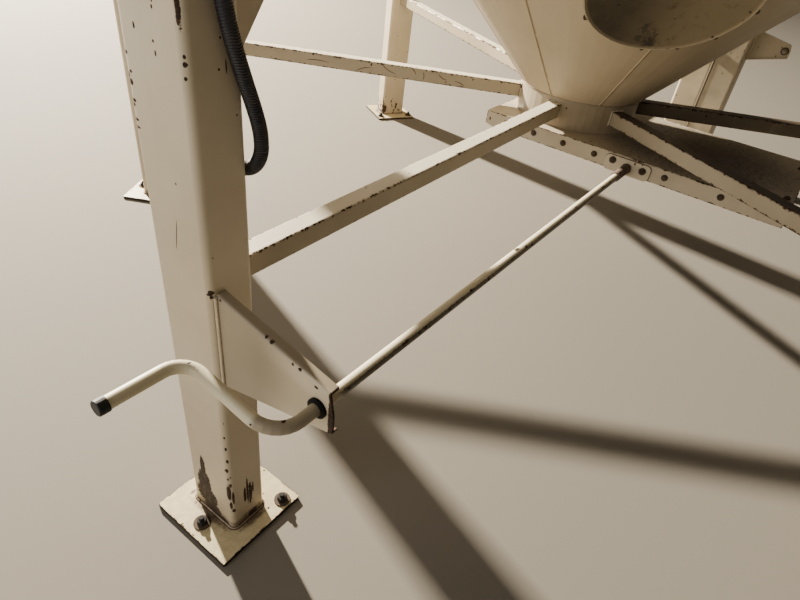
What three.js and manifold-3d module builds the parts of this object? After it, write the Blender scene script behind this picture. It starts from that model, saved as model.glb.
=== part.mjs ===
import * as THREE from 'three';
import { mergeVertices } from 'three/addons/utils/BufferGeometryUtils.js';
import Module from 'manifold-3d';

// The hopper base of a small grain silo: six legs, the cone, its outlet and a slide gate that a
// crank opens. Millimetres, +Z up. The origin is on the ground under the middle of the outlet.
// Leg A stands at -Y, the other legs follow clockwise seen from above, and the gate opens to +X.

const wasm = await Module();
wasm.setup();

const UP = new THREE.Vector3(0, 0, 1);
const rad = THREE.MathUtils.degToRad;

// Gap between pieces that are welded or bolted together.
const GAP = 0.3;

// Legs: rectangular hollow section, broad side facing the outlet.
const LEG_NAMES = ['a', 'b', 'c', 'd', 'e', 'f'];
const LEG_STEP = 360 / LEG_NAMES.length;
const FAR_TURN = rad(3);
const LEG_RING = 1797;
const LEG_WIDTH = 150;
const LEG_DEPTH = 100;
const LEG_WALL = 5;
const LEG_CORNER = 14;
const LEG_INNER = LEG_RING - LEG_DEPTH / 2;
const LEG_OUTER = LEG_RING + LEG_DEPTH / 2;

// Foot plates and their anchor holes, one outside the leg and two inside.
const FOOT_SIZE = 250;
const FOOT_THICK = 12;
const ANCHOR_RADIUS = 11;
const ANCHOR_OFFSET = 88;
const ANCHOR_SPREAD = 100;

// Cone, outlet collar and the rim that the bin wall bolts to.
const SLOPE = rad(46);
const OUTLET_RADIUS = 229;
const COLLAR_WALL = 5;
const CONE_FOOT_Z = 758;
const CONE_SHEET = 4;
const PANEL_COUNT = 8;
const PANEL_SEAM = -96;
const ROUND_FACETS = 72;
const RIM_RADIUS = LEG_INNER - GAP;
const RIM_WALL = 5;
const RIM_HEIGHT = 300;
const FLANGE_REACH = 108;
const FLANGE_THICK = 8;
const FLANGE_HOLE = 9;
const FLANGE_HOLES_PER_PART = 4;
const CONE_TOP_Z = CONE_FOOT_Z + (RIM_RADIUS - OUTLET_RADIUS) * Math.tan(SLOPE);
const LEG_TOP_Z = CONE_TOP_Z + RIM_HEIGHT;

// Radial struts from the legs to the collar.
const STRUT_SIZE = 50;
const STRUT_WALL = 3;
const STRUT_CORNER = 5;
const STRUT_Z = 716;

// Web plates between the legs and the cone.
const WEB_THICK = 8;
const WEB_FOOT_Z = 1034;
const WEB_TIP_RADIUS = 1209;

// Slide gate under the collar: folded housing, slide and rack.
const GATE_TOP_Z = 652;
const GATE_SHEET = 5;
const GATE_HALF_WIDTH = 278;
const GATE_LEFT = -240;
const GATE_RIGHT = 850;
const SKIRT_HEIGHT = 58;
const CORNER_CUT = new THREE.Vector2(36, 9);
const RUNNER_WIDTH = 30;
const RUNNER_THICK = 5;
const SLIDE_THICK = 6;
const SLIDE_PLAY = 0.5;
const SLIDE_LEFT = -234;
const SLIDE_LENGTH = 480;
const SLIDE_SIDE_PLAY = 5;
const RACK_LEFT = -150;
const RACK_RIGHT = 372;
const RACK_WIDTH = 30;

// Crank shaft: it rises a little from the gate to the bracket on leg A.
const SHAFT_X = 335;
const SHAFT_GATE_Z = 614;
const SHAFT_BRACKET_Z = 652;
const SHAFT_BRACKET_Y = -1851;
const SHAFT_TILT = Math.atan2(SHAFT_BRACKET_Z - SHAFT_GATE_Z, -SHAFT_BRACKET_Y - GATE_HALF_WIDTH);
const SHAFT_REACH = Math.hypot(SHAFT_BRACKET_Z - SHAFT_GATE_Z, SHAFT_BRACKET_Y + GATE_HALF_WIDTH);
const STUB_RADIUS = 10;
const SLEEVE_RADIUS = 16;
const SLEEVE_START = 22;
const SLEEVE_LENGTH = 100;
const SOCKET_DEPTH = 60;
const COLLAR_RADIUS = 18.5;
const COLLAR_WIDTH = 6;
const COLLAR_PLAY = 1;
const SHAFT_END = 22;
const CRANK_RADIUS = 12;
const CRANK_NECK = 90;
const CRANK_THROW = new THREE.Vector3(-213.5, 0, 31.4);
const CRANK_INNER_BEND = 54;
const CRANK_OUTER_BEND = 42;
const CRANK_GRIP = 151;
const CAP_LENGTH = 13;
const CAP_WALL = 1.6;
const CAP_EDGE = 3;
const CAP_CROWN = 4.5;

// Rack and pinion.
const MODULE = 4;
const PINION_TEETH = 10;
const PITCH_RADIUS = MODULE * PINION_TEETH / 2;
const PRESSURE = rad(20);
const TOOTH_PLAY = 1.4;
const RACK_ADDENDUM = 2.3;
const DEDENDUM = 1.25 * MODULE;

// Bearings and the brackets on leg A and leg D.
const BUSH_RADIUS = 16;
const BUSH_FLANGE = 19.5;
const BUSH_TAIL = 4;
const BUSH_PLAY = 1.4;
const BUSH_BRIM = 4.6;
const BUSH_LIP = 2;
const BEARING_THICK = 6;
const BEARING_LENGTH = 163;
const BEARING_TOP = 645;
const BEARING_FOOT = 590;
const BRACKET_THICK = 5;
const BRACKET_SETBACK = 12;
const BRACKET_SKEW = rad(2.4);
const BRACKET_FLANGE = 22;
const BRACKET_LIP = 13;
const BRACKET_BEND = 7;
const BRACKET_ROOT_X = LEG_WIDTH / 2 + GAP;
const NEAR_BRACKET = { rootZ: [514, 739], tipX: 368, tipZ: [611, 699], corner: [9, 49], holeX: SHAFT_X };
const FAR_BRACKET = { rootZ: [683, 848], tipX: 274, tipZ: [735, 806], corner: [9, 30], holeX: 246, holeZ: 769 };

// Manhole on the cone, between leg A and leg F.
const MANHOLE_AZIMUTH = rad(-58.6);
const MANHOLE_SLANT = 635;
const MANHOLE_STAND = 45;
const NECK_RADIUS = 219;
const NECK_WALL = 4;
const LID_RADIUS = NECK_RADIUS - NECK_WALL - GAP;
const LID_SHEET = 3;
const LID_INSET = 1.5;
const LID_DISH = 42;
const LID_RINGS = 7;
const MANHOLE_FACETS = 48;

// Corrugated conduit down the side of leg A, with a box at each end.
const CONDUIT_RADIUS = 12.5;
const CONDUIT_X = LEG_WIDTH / 2 + CONDUIT_RADIUS + 0.5;
const LOOP_RADIUS = 58;
const LOOP_Z = 992;
const LOOP_Y = -1729;
const LOW_BOX_Z = 1003;
const TOP_BOX_Z = 2120;

const paint = (color, roughness = 0.55, metalness = 0.1) =>
  new THREE.MeshStandardMaterial({ color, roughness, metalness });
const MATERIAL = {
  cream: () => paint(0xd9cdb2),
  cone: () => paint(0xc9bb98),
  steel: () => paint(0x6f6357, 0.7, 0.6),
  plastic: () => paint(0x17181a, 0.5, 0),
};

const silo = new THREE.Group();

// Every solid has its faces pointing out.
function facingOut(geometry) {
  const soup = geometry.index ? geometry.toNonIndexed() : geometry;
  const corners = soup.attributes.position;
  const [a, b, c] = [new THREE.Vector3(), new THREE.Vector3(), new THREE.Vector3()];
  let volume = 0;
  for (let i = 0; i < corners.count; i += 3) {
    a.fromBufferAttribute(corners, i);
    b.fromBufferAttribute(corners, i + 1);
    c.fromBufferAttribute(corners, i + 2);
    volume += a.dot(b.cross(c));
  }
  if (volume > 0) return soup;
  for (let i = 0; i < corners.count; i += 3) {
    a.fromBufferAttribute(corners, i + 1);
    b.fromBufferAttribute(corners, i + 2);
    corners.setXYZ(i + 1, b.x, b.y, b.z);
    corners.setXYZ(i + 2, a.x, a.y, a.z);
  }
  soup.computeVertexNormals();
  return soup;
}

function toSolid(geometry) {
  const bare = facingOut(geometry);
  bare.deleteAttribute('normal');
  bare.deleteAttribute('uv');
  const merged = mergeVertices(bare, 1e-3);
  return new wasm.Manifold(new wasm.Mesh({
    numProp: 3,
    vertProperties: Float32Array.from(merged.attributes.position.array),
    triVerts: Uint32Array.from(merged.index.array),
  }));
}

function toGeometry(solid) {
  const { vertProperties, triVerts } = solid.getMesh();
  const geometry = new THREE.BufferGeometry();
  geometry.setAttribute('position', new THREE.BufferAttribute(Float32Array.from(vertProperties), 3));
  geometry.setIndex(new THREE.BufferAttribute(Uint32Array.from(triVerts), 1));
  geometry.computeVertexNormals();
  return geometry;
}

const join = (...geometries) =>
  toGeometry(geometries.map(toSolid).reduce((whole, piece) => whole.add(piece)));
const cut = (geometry, ...tools) =>
  toGeometry(tools.map(toSolid).reduce((whole, tool) => whole.subtract(tool), toSolid(geometry)));
const common = (geometry, other) => toGeometry(toSolid(geometry).intersect(toSolid(other)));

function add(name, geometry, material, parent = silo) {
  const mesh = new THREE.Mesh(facingOut(geometry), material);
  mesh.name = name;
  parent.add(mesh);
  return mesh;
}

// Outline helpers. Shapes are drawn in X and Y and extruded along +Z.
function polygon(points) {
  return new THREE.Shape(points.map(([x, y]) => new THREE.Vector2(x, y)));
}

function roundedRectangle(left, bottom, right, top, radius) {
  const shape = new THREE.Shape();
  shape.absarc(right - radius, bottom + radius, radius, -Math.PI / 2, 0);
  shape.absarc(right - radius, top - radius, radius, 0, Math.PI / 2);
  shape.absarc(left + radius, top - radius, radius, Math.PI / 2, Math.PI);
  shape.absarc(left + radius, bottom + radius, radius, Math.PI, 1.5 * Math.PI);
  return shape;
}

function circle(x, y, radius) {
  return new THREE.Path().absarc(x, y, radius, 0, 2 * Math.PI);
}

function extrude(shape, depth, curveSegments = 12) {
  return new THREE.ExtrudeGeometry(shape, { depth, bevelEnabled: false, curveSegments });
}

// Extrudes a shape drawn in X and Z, from y = near to y = far.
function extrudeAlongY(shape, near, far, curveSegments = 12) {
  return extrude(shape, far - near, curveSegments).rotateX(Math.PI / 2).translate(0, far, 0);
}

function hollowSection(width, depth, wall, corner, length, cornerSegments) {
  const outline = roundedRectangle(-width / 2, -depth / 2, width / 2, depth / 2, corner);
  const [w, d] = [width / 2 - wall, depth / 2 - wall];
  outline.holes.push(roundedRectangle(-w, -d, w, d, Math.max(corner - wall, 1)));
  return extrude(outline, length, cornerSegments);
}

// Turns a closed outline of [radius, height] points round the Z axis, first facet at startAngle.
function turned(points, facets, startAngle = 0) {
  const outline = [...points, points[0]].map(([r, z]) => new THREE.Vector2(r, z));
  return new THREE.LatheGeometry(outline, facets).rotateX(Math.PI / 2).rotateZ(Math.PI / 2 + startAngle);
}

// The same, round a Y axis: heights run along +Y.
function turnedAlongY(points, facets) {
  return turned(points, facets).rotateX(-Math.PI / 2);
}

// A sector of a round part between two angles, half a gap inside each of them.
function sector(from, to, low, high, reach) {
  const half = (to - from) / 2;
  const middle = from + half;
  const apex = GAP / 2 / Math.sin(half);
  const length = 1.1 * reach / Math.cos(half);
  const corner = (angle) => [
    apex * Math.cos(middle) + length * Math.cos(angle),
    apex * Math.sin(middle) + length * Math.sin(angle),
  ];
  const outline = polygon([[apex * Math.cos(middle), apex * Math.sin(middle)], corner(from), corner(to)]);
  return extrude(outline, high - low).translate(0, 0, low);
}

function turnedPlace(angle) {
  const place = new THREE.Group();
  place.rotation.z = -angle;
  silo.add(place);
  return place;
}

// A group at a leg's place: its -Y looks out from the silo. The far leg stands a little off its turn.
function legPlace(index) {
  return turnedPlace(rad(index * LEG_STEP) + (LEG_NAMES[index] === 'd' ? FAR_TURN : 0));
}

// A group for the pieces beside the far leg: its +Y looks out from the silo.
const farPlace = () => turnedPlace(FAR_TURN);

function makeLegs() {
  const height = LEG_TOP_Z - FOOT_THICK - 2 * GAP;
  const section = () => hollowSection(LEG_WIDTH, LEG_DEPTH, LEG_WALL, LEG_CORNER, height, 4);
  LEG_NAMES.forEach((letter, index) => {
    const leg = add(`leg_${letter}`, section(), MATERIAL.cream(), legPlace(index));
    leg.position.set(0, -LEG_RING, FOOT_THICK + GAP);
  });
  const twin = add('leg_d_twin', section(), MATERIAL.cream(), farPlace());
  twin.position.set(LEG_WIDTH + GAP, LEG_RING, FOOT_THICK + GAP);
}

function footPlate(width, anchors) {
  const half = FOOT_SIZE / 2;
  const plate = roundedRectangle(-half, -half, width - half, half, 3);
  anchors.forEach(([x, y]) => plate.holes.push(circle(x, y, ANCHOR_RADIUS)));
  return extrude(plate, FOOT_THICK, 2);
}

function makeFootPlates() {
  const anchors = [[0, -ANCHOR_OFFSET], [-ANCHOR_SPREAD, ANCHOR_OFFSET], [ANCHOR_SPREAD, ANCHOR_OFFSET]];
  LEG_NAMES.forEach((letter, index) => {
    if (letter === 'd') return;
    const plate = add(`foot_plate_${letter}`, footPlate(FOOT_SIZE, anchors), MATERIAL.cream(), legPlace(index));
    plate.position.set(0, -LEG_RING, 0);
  });
  const wide = FOOT_SIZE + LEG_WIDTH + GAP;
  const farSide = wide - FOOT_SIZE / 2 - (FOOT_SIZE / 2 - ANCHOR_SPREAD);
  const wideAnchors = [
    [-ANCHOR_SPREAD, -ANCHOR_OFFSET], [farSide, -ANCHOR_OFFSET],
    [0, ANCHOR_OFFSET], [LEG_WIDTH, ANCHOR_OFFSET],
  ];
  const farPlate = add('foot_plate_d', footPlate(wide, wideAnchors), MATERIAL.cream(), farPlace());
  farPlate.position.set(0, LEG_RING, 0);
}

function makeStruts() {
  const length = LEG_INNER - OUTLET_RADIUS - 2 * GAP;
  LEG_NAMES.forEach((letter, index) => {
    const strut = hollowSection(STRUT_SIZE, STRUT_SIZE, STRUT_WALL, STRUT_CORNER, length, 2);
    strut.rotateX(-Math.PI / 2).translate(0, -LEG_INNER + GAP, STRUT_Z);
    add(`strut_${letter}`, strut, MATERIAL.cream(), legPlace(index));
  });
}

const coneHeightAt = (radius) => CONE_FOOT_Z + (radius - OUTLET_RADIUS) * Math.tan(SLOPE);

function makeWebs() {
  const clear = GAP / Math.cos(SLOPE);
  const outline = polygon([
    [-RIM_RADIUS, WEB_FOOT_Z],
    [-WEB_TIP_RADIUS, coneHeightAt(WEB_TIP_RADIUS) - clear],
    [-RIM_RADIUS, coneHeightAt(RIM_RADIUS) - clear],
  ]);
  LEG_NAMES.forEach((letter, index) => {
    const web = extrudeAlongY(outline, -WEB_THICK / 2, WEB_THICK / 2).rotateZ(Math.PI / 2);
    add(`web_${letter}`, web, MATERIAL.cream(), legPlace(index));
  });
}

// The manhole's own frame: Z out of the lid, X up the slope.
function manholeFrame() {
  const around = new THREE.Vector3(Math.cos(MANHOLE_AZIMUTH), Math.sin(MANHOLE_AZIMUTH), 0);
  const upSlope = around.clone().multiplyScalar(Math.cos(SLOPE)).addScaledVector(UP, Math.sin(SLOPE));
  const outward = around.clone().multiplyScalar(Math.sin(SLOPE)).addScaledVector(UP, -Math.cos(SLOPE));
  const centre = around.clone().multiplyScalar(OUTLET_RADIUS).setZ(CONE_FOOT_Z)
    .addScaledVector(upSlope, MANHOLE_SLANT).addScaledVector(outward, MANHOLE_STAND);
  return new THREE.Matrix4().makeBasis(upSlope, outward.clone().cross(upSlope), outward).setPosition(centre);
}

const MANHOLE = manholeFrame();

function manholeBore() {
  const reach = 250;
  const inside = NECK_RADIUS - NECK_WALL;
  return turned([[0, -reach], [inside, -reach], [inside, reach], [0, reach]], MANHOLE_FACETS)
    .applyMatrix4(MANHOLE);
}

function makePanels() {
  const inner = CONE_SHEET / Math.sin(SLOPE);
  const seam = (index) => rad(PANEL_SEAM + index * 360 / PANEL_COUNT);
  const shell = turned([
    [OUTLET_RADIUS - inner, CONE_FOOT_Z],
    [OUTLET_RADIUS, CONE_FOOT_Z],
    [RIM_RADIUS, CONE_TOP_Z],
    [RIM_RADIUS - inner, CONE_TOP_Z],
  ], ROUND_FACETS, seam(0));
  const bored = cut(shell, manholeBore());
  for (let index = 0; index < PANEL_COUNT; index += 1) {
    const wedge = sector(seam(index), seam(index + 1), CONE_FOOT_Z - 1, CONE_TOP_Z + 1, RIM_RADIUS);
    add(`hopper_panel_${index + 1}`, common(bored.clone(), wedge), MATERIAL.cone());
  }
}

function makeRim() {
  const base = CONE_TOP_Z + GAP;
  const top = LEG_TOP_Z + FLANGE_THICK;
  const inside = RIM_RADIUS - RIM_WALL;
  const flange = RIM_RADIUS - RIM_WALL + FLANGE_REACH;
  const ring = turned([
    [inside, base], [RIM_RADIUS, base], [RIM_RADIUS, LEG_TOP_Z],
    [flange, LEG_TOP_Z], [flange, top], [inside, top],
  ], ROUND_FACETS);
  const holeRing = (RIM_RADIUS + flange) / 2;
  LEG_NAMES.forEach((letter, index) => {
    const middle = rad(-90 - index * LEG_STEP);
    const half = rad(LEG_STEP / 2);
    let part = common(ring.clone(), sector(middle - half, middle + half, base - 1, top + 1, flange));
    for (let hole = 0; hole < FLANGE_HOLES_PER_PART; hole += 1) {
      const angle = middle + half * ((2 * hole + 1) / FLANGE_HOLES_PER_PART - 1);
      const drill = new THREE.CylinderGeometry(FLANGE_HOLE, FLANGE_HOLE, 4 * FLANGE_THICK, 10)
        .rotateX(Math.PI / 2)
        .translate(holeRing * Math.cos(angle), holeRing * Math.sin(angle), top);
      part = cut(part, drill);
    }
    add(`rim_${letter}`, part, MATERIAL.cream());
  });
}

function makeCollar() {
  const inside = OUTLET_RADIUS - COLLAR_WALL;
  const [low, high] = [GATE_TOP_Z + GAP, CONE_FOOT_Z - GAP];
  const ring = turned([[inside, low], [OUTLET_RADIUS, low], [OUTLET_RADIUS, high], [inside, high]], 48);
  add('outlet_collar', ring, MATERIAL.cream());
}

// One face of the bowl-shaped lid, from its middle to its edge.
function lidCurve(edgeZ) {
  return Array.from({ length: LID_RINGS + 1 }, (_, ring) => {
    const share = ring / LID_RINGS;
    return [LID_RADIUS * share, edgeZ - LID_DISH * (1 - share ** 2)];
  });
}

function makeManhole() {
  const inside = NECK_RADIUS - NECK_WALL;
  const reach = 200;
  const wall = [[inside, -reach], [NECK_RADIUS, -reach], [NECK_RADIUS, 0], [inside, 0]];
  const tube = turned(wall, MANHOLE_FACETS);
  const clear = GAP / Math.sin(SLOPE) + GAP;
  const tip = CONE_FOOT_Z - (OUTLET_RADIUS + clear) * Math.tan(SLOPE);
  const inCone = [[0, tip], [RIM_RADIUS + clear, CONE_TOP_Z], [0, CONE_TOP_Z]];
  const cone = turned(inCone, ROUND_FACETS, rad(PANEL_SEAM));
  add('manhole_neck', cut(tube.applyMatrix4(MANHOLE), cone), MATERIAL.cone());
  const back = lidCurve(-LID_INSET - LID_SHEET);
  const front = lidCurve(-LID_INSET).reverse();
  const lid = turned([...back, ...front], MANHOLE_FACETS);
  add('manhole_lid', lid.applyMatrix4(MANHOLE), MATERIAL.cone());
}

// One side of the housing, open from below where the shaft passes.
function skirtOutline(shaftZ) {
  const low = GATE_TOP_Z - SKIRT_HEIGHT;
  const slot = STUB_RADIUS + 3;
  const outline = new THREE.Shape();
  outline.moveTo(GATE_LEFT, GATE_TOP_Z);
  outline.lineTo(GATE_LEFT, low + CORNER_CUT.y);
  outline.lineTo(GATE_LEFT + CORNER_CUT.x, low);
  outline.lineTo(SHAFT_X - slot, low);
  outline.absarc(SHAFT_X, shaftZ, slot, Math.PI, 0, true);
  outline.lineTo(SHAFT_X + slot, low);
  outline.lineTo(GATE_RIGHT, low);
  outline.lineTo(GATE_RIGHT, GATE_TOP_Z);
  return outline;
}

function makeGate() {
  const top = roundedRectangle(GATE_LEFT, -GATE_HALF_WIDTH, GATE_RIGHT, GATE_HALF_WIDTH, 2);
  top.holes.push(circle(0, 0, OUTLET_RADIUS - COLLAR_WALL - 2));
  const under = GATE_TOP_Z - GATE_SHEET;
  const inside = GATE_HALF_WIDTH - GATE_SHEET;
  const runnerTop = under - SLIDE_THICK - 2 * SLIDE_PLAY;
  const pieces = [extrude(top, GATE_SHEET, 24).translate(0, 0, under)];
  for (const side of [-1, 1]) {
    const [near, far] = [side * inside, side * GATE_HALF_WIDTH].sort((a, b) => a - b);
    pieces.push(extrudeAlongY(skirtOutline(shaftHeightAt((near + far) / 2)), near, far, 8));
    const runner = new THREE.BoxGeometry(GATE_RIGHT - GATE_LEFT - 10, RUNNER_WIDTH + 1, RUNNER_THICK);
    const runnerY = side * (inside + 0.5 - RUNNER_WIDTH / 2);
    runner.translate((GATE_LEFT + GATE_RIGHT) / 2, runnerY, runnerTop - RUNNER_THICK / 2);
    pieces.push(runner);
  }
  add('gate_housing', join(...pieces), MATERIAL.cream());

  const halfSlide = inside - SLIDE_SIDE_PLAY;
  const slide = roundedRectangle(SLIDE_LEFT, -halfSlide, SLIDE_LEFT + SLIDE_LENGTH, halfSlide, 4);
  const slideUnder = under - SLIDE_PLAY - SLIDE_THICK;
  add('gate_slide', extrude(slide, SLIDE_THICK, 2).translate(0, 0, slideUnder), MATERIAL.steel());
  add('gate_rack', rackGeometry(slideUnder - GAP), MATERIAL.steel());
}

const shaftHeightAt = (y) => SHAFT_GATE_Z - (y + GATE_HALF_WIDTH) * Math.tan(SHAFT_TILT);

// Trapezoid teeth under a flat bar, with a tooth space over the pinion's middle.
function rackGeometry(top) {
  const pitchLine = shaftHeightAt(0) + PITCH_RADIUS;
  const pitch = Math.PI * MODULE;
  const half = (pitch / 2 - TOOTH_PLAY) / 2;
  const [low, high] = [pitchLine - RACK_ADDENDUM, pitchLine + DEDENDUM];
  const lean = Math.tan(PRESSURE);
  const points = [[RACK_LEFT, top], [RACK_LEFT, high]];
  const first = Math.ceil((RACK_LEFT - SHAFT_X) / pitch);
  const last = Math.floor((RACK_RIGHT - SHAFT_X) / pitch) - 1;
  for (let tooth = first; tooth <= last; tooth += 1) {
    const middle = SHAFT_X + (tooth + 0.5) * pitch;
    points.push(
      [middle - half - DEDENDUM * lean, high], [middle - half + RACK_ADDENDUM * lean, low],
      [middle + half - RACK_ADDENDUM * lean, low], [middle + half + DEDENDUM * lean, high],
    );
  }
  points.push([RACK_RIGHT, high], [RACK_RIGHT, top]);
  return extrudeAlongY(polygon(points), -RACK_WIDTH / 2, RACK_WIDTH / 2);
}

// Involute teeth, the first one pointing up at the rack.
function pinionOutline() {
  const base = PITCH_RADIUS * Math.cos(PRESSURE);
  const tip = PITCH_RADIUS + MODULE - 0.4;
  const root = PITCH_RADIUS - DEDENDUM;
  const involute = (radius) => {
    const roll = Math.sqrt(Math.max((radius / base) ** 2 - 1, 0));
    return roll - Math.atan(roll);
  };
  const halfAtPitch = (Math.PI * MODULE / 2 - TOOTH_PLAY) / 2 / PITCH_RADIUS;
  const halfAt = (radius) => halfAtPitch + involute(PITCH_RADIUS) - involute(radius);
  const flank = [root, base, (base + tip) / 2, tip];
  const points = [];
  for (let tooth = 0; tooth < PINION_TEETH; tooth += 1) {
    const middle = Math.PI / 2 + tooth * 2 * Math.PI / PINION_TEETH;
    const place = (radius, side) => {
      const angle = middle + side * halfAt(radius);
      points.push([radius * Math.cos(angle), radius * Math.sin(angle)]);
    };
    flank.forEach((radius) => place(radius, -1));
    [...flank].reverse().forEach((radius) => place(radius, 1));
  }
  return polygon(points);
}

// The shaft's own frame: Y runs out from the gate along the shaft, towards leg A's bracket.
function shaftPlace() {
  const place = new THREE.Group();
  place.position.set(SHAFT_X, -GATE_HALF_WIDTH, SHAFT_GATE_Z);
  const alongShaft = new THREE.Vector3(0, -Math.cos(SHAFT_TILT), Math.sin(SHAFT_TILT));
  const side = new THREE.Vector3(-1, 0, 0);
  place.setRotationFromMatrix(new THREE.Matrix4().makeBasis(side, alongShaft, side.clone().cross(alongShaft)));
  silo.add(place);
  return place;
}

// Centre line of the crank: straight shaft, two bends and the grip, all in one plane.
function crankLine() {
  const line = new THREE.CurvePath();
  const out = new THREE.Vector3(0, 1, 0);
  const reach = CRANK_THROW.length();
  const throwWay = new THREE.Vector3(-CRANK_THROW.x, 0, CRANK_THROW.z).normalize();
  const start = new THREE.Vector3(0, SLEEVE_START + SLEEVE_LENGTH - SOCKET_DEPTH + 2, 0);
  const firstCorner = new THREE.Vector3(0, SHAFT_REACH + CRANK_NECK, 0);
  const secondCorner = firstCorner.clone().addScaledVector(throwWay, reach);
  const bend = (corner, from, to, radius) => {
    const enter = corner.clone().addScaledVector(from, -radius);
    const leave = corner.clone().addScaledVector(to, radius);
    return [enter, leave];
  };
  const [in1, out1] = bend(firstCorner, out, throwWay, CRANK_INNER_BEND);
  const [in2, out2] = bend(secondCorner, throwWay, out, CRANK_OUTER_BEND);
  const end = secondCorner.clone().addScaledVector(out, CRANK_GRIP);
  line.add(new THREE.LineCurve3(start, in1));
  line.add(new QuarterBend(in1, out, throwWay, CRANK_INNER_BEND));
  line.add(new THREE.LineCurve3(out1, in2));
  line.add(new QuarterBend(in2, throwWay, out, CRANK_OUTER_BEND));
  line.add(new THREE.LineCurve3(out2, end));
  return line;
}

// A quarter circle that starts along one direction and ends along another.
class QuarterBend extends THREE.Curve {
  constructor(start, from, to, radius) {
    super();
    Object.assign(this, { start, from, to, radius });
  }

  getPoint(t, target = new THREE.Vector3()) {
    const angle = t * Math.PI / 2;
    return target.copy(this.start)
      .addScaledVector(this.from, this.radius * Math.sin(angle))
      .addScaledVector(this.to, this.radius * (1 - Math.cos(angle)));
  }
}

// Sweeps a round section along straight stretches and bends, with a ring of points at each stop.
function sweep(line, radius, sides, bendSteps) {
  const stops = [];
  line.curves.forEach((curve) => {
    const steps = curve instanceof THREE.LineCurve3 ? 1 : bendSteps;
    for (let i = stops.length ? 1 : 0; i <= steps; i += 1) {
      stops.push({ point: curve.getPoint(i / steps), way: curve.getTangent(i / steps) });
    }
  });
  return sweepThrough(stops, radius, sides);
}

function sweepThrough(stops, radius, sides) {
  const route = new THREE.Curve();
  const last = stops.length - 1;
  route.getPoint = (t) => stops[Math.round(t * last)].point.clone();
  route.getTangent = (t) => stops[Math.round(t * last)].way.clone();
  route.getPointAt = route.getPoint;
  route.getTangentAt = route.getTangent;
  const section = new THREE.Shape().absarc(0, 0, radius, 0, 2 * Math.PI);
  const options = { steps: last, extrudePath: route, bevelEnabled: false, curveSegments: sides };
  return new THREE.ExtrudeGeometry(section, options);
}

function makeCrank() {
  const place = shaftPlace();
  const width = RACK_WIDTH;
  const pinion = pinionOutline();
  pinion.holes.push(circle(0, 0, STUB_RADIUS + GAP));
  const along = GATE_HALF_WIDTH / Math.cos(SHAFT_TILT);
  add('pinion', extrudeAlongY(pinion, -along - width / 2, -along + width / 2), MATERIAL.steel(), place);

  const outside = (GAP + BEARING_THICK) / Math.cos(SHAFT_TILT) + COLLAR_PLAY;
  const back = -2 * along - outside;
  const sleeveEnd = SLEEVE_START + SLEEVE_LENGTH;
  const socketFloor = sleeveEnd - SOCKET_DEPTH;
  const socket = CRANK_RADIUS + GAP;
  const shaft = turnedAlongY([
    [0, back - SHAFT_END], [STUB_RADIUS, back - SHAFT_END], [STUB_RADIUS, back - COLLAR_WIDTH],
    [COLLAR_RADIUS, back - COLLAR_WIDTH], [COLLAR_RADIUS, back], [STUB_RADIUS, back],
    [STUB_RADIUS, outside], [COLLAR_RADIUS, outside], [COLLAR_RADIUS, outside + COLLAR_WIDTH],
    [STUB_RADIUS, outside + COLLAR_WIDTH], [STUB_RADIUS, SLEEVE_START], [SLEEVE_RADIUS, SLEEVE_START],
    [SLEEVE_RADIUS, sleeveEnd], [socket, sleeveEnd], [socket, socketFloor], [0, socketFloor],
  ], 20);
  add('pinion_shaft', shaft, MATERIAL.steel(), place);

  const line = crankLine();
  add('crank_rod', sweep(line, CRANK_RADIUS - 0.1, 16, 7), MATERIAL.cream(), place);

  const end = line.curves.at(-1).v2;
  const capInside = CRANK_RADIUS + GAP;
  const cap = turnedAlongY([
    [0, GAP], [capInside, GAP], [capInside, -CAP_LENGTH], [capInside + CAP_WALL, -CAP_LENGTH],
    [capInside + CAP_WALL, CAP_EDGE], [capInside, CAP_CROWN], [0, CAP_CROWN],
  ], 20);
  add('grip_cap', cap, MATERIAL.plastic(), place).position.copy(end);

  const face = (-bracketFaceAt(SHAFT_X) - GATE_HALF_WIDTH) / Math.cos(SHAFT_TILT);
  const bore = CRANK_RADIUS + 0.5;
  const bushBack = face - BRACKET_THICK - BUSH_TAIL;
  const flange = face + BUSH_PLAY;
  const bush = turnedAlongY([
    [bore, bushBack], [BUSH_RADIUS, bushBack], [BUSH_RADIUS, flange], [BUSH_FLANGE, flange],
    [BUSH_FLANGE, flange + BUSH_BRIM], [bore, flange + BUSH_BRIM + BUSH_LIP],
  ], 24);
  add('crank_bush', bush, MATERIAL.plastic(), place);
}

function makeBearings() {
  const half = BEARING_LENGTH / 2;
  for (const [name, side] of [['front', -1], ['back', 1]]) {
    const faces = [side * (GATE_HALF_WIDTH + GAP), side * (GATE_HALF_WIDTH + GAP + BEARING_THICK)];
    const [near, far] = faces.sort((a, b) => a - b);
    const drop = shaftHeightAt(near) - SHAFT_GATE_Z;
    const plate = roundedRectangle(SHAFT_X - half, BEARING_FOOT + drop, SHAFT_X + half, BEARING_TOP, 16);
    plate.holes.push(circle(SHAFT_X, shaftHeightAt((near + far) / 2), STUB_RADIUS + 0.5));
    add(`bearing_plate_${name}`, extrudeAlongY(plate, near, far, 6), MATERIAL.cream());
  }
}

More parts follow.
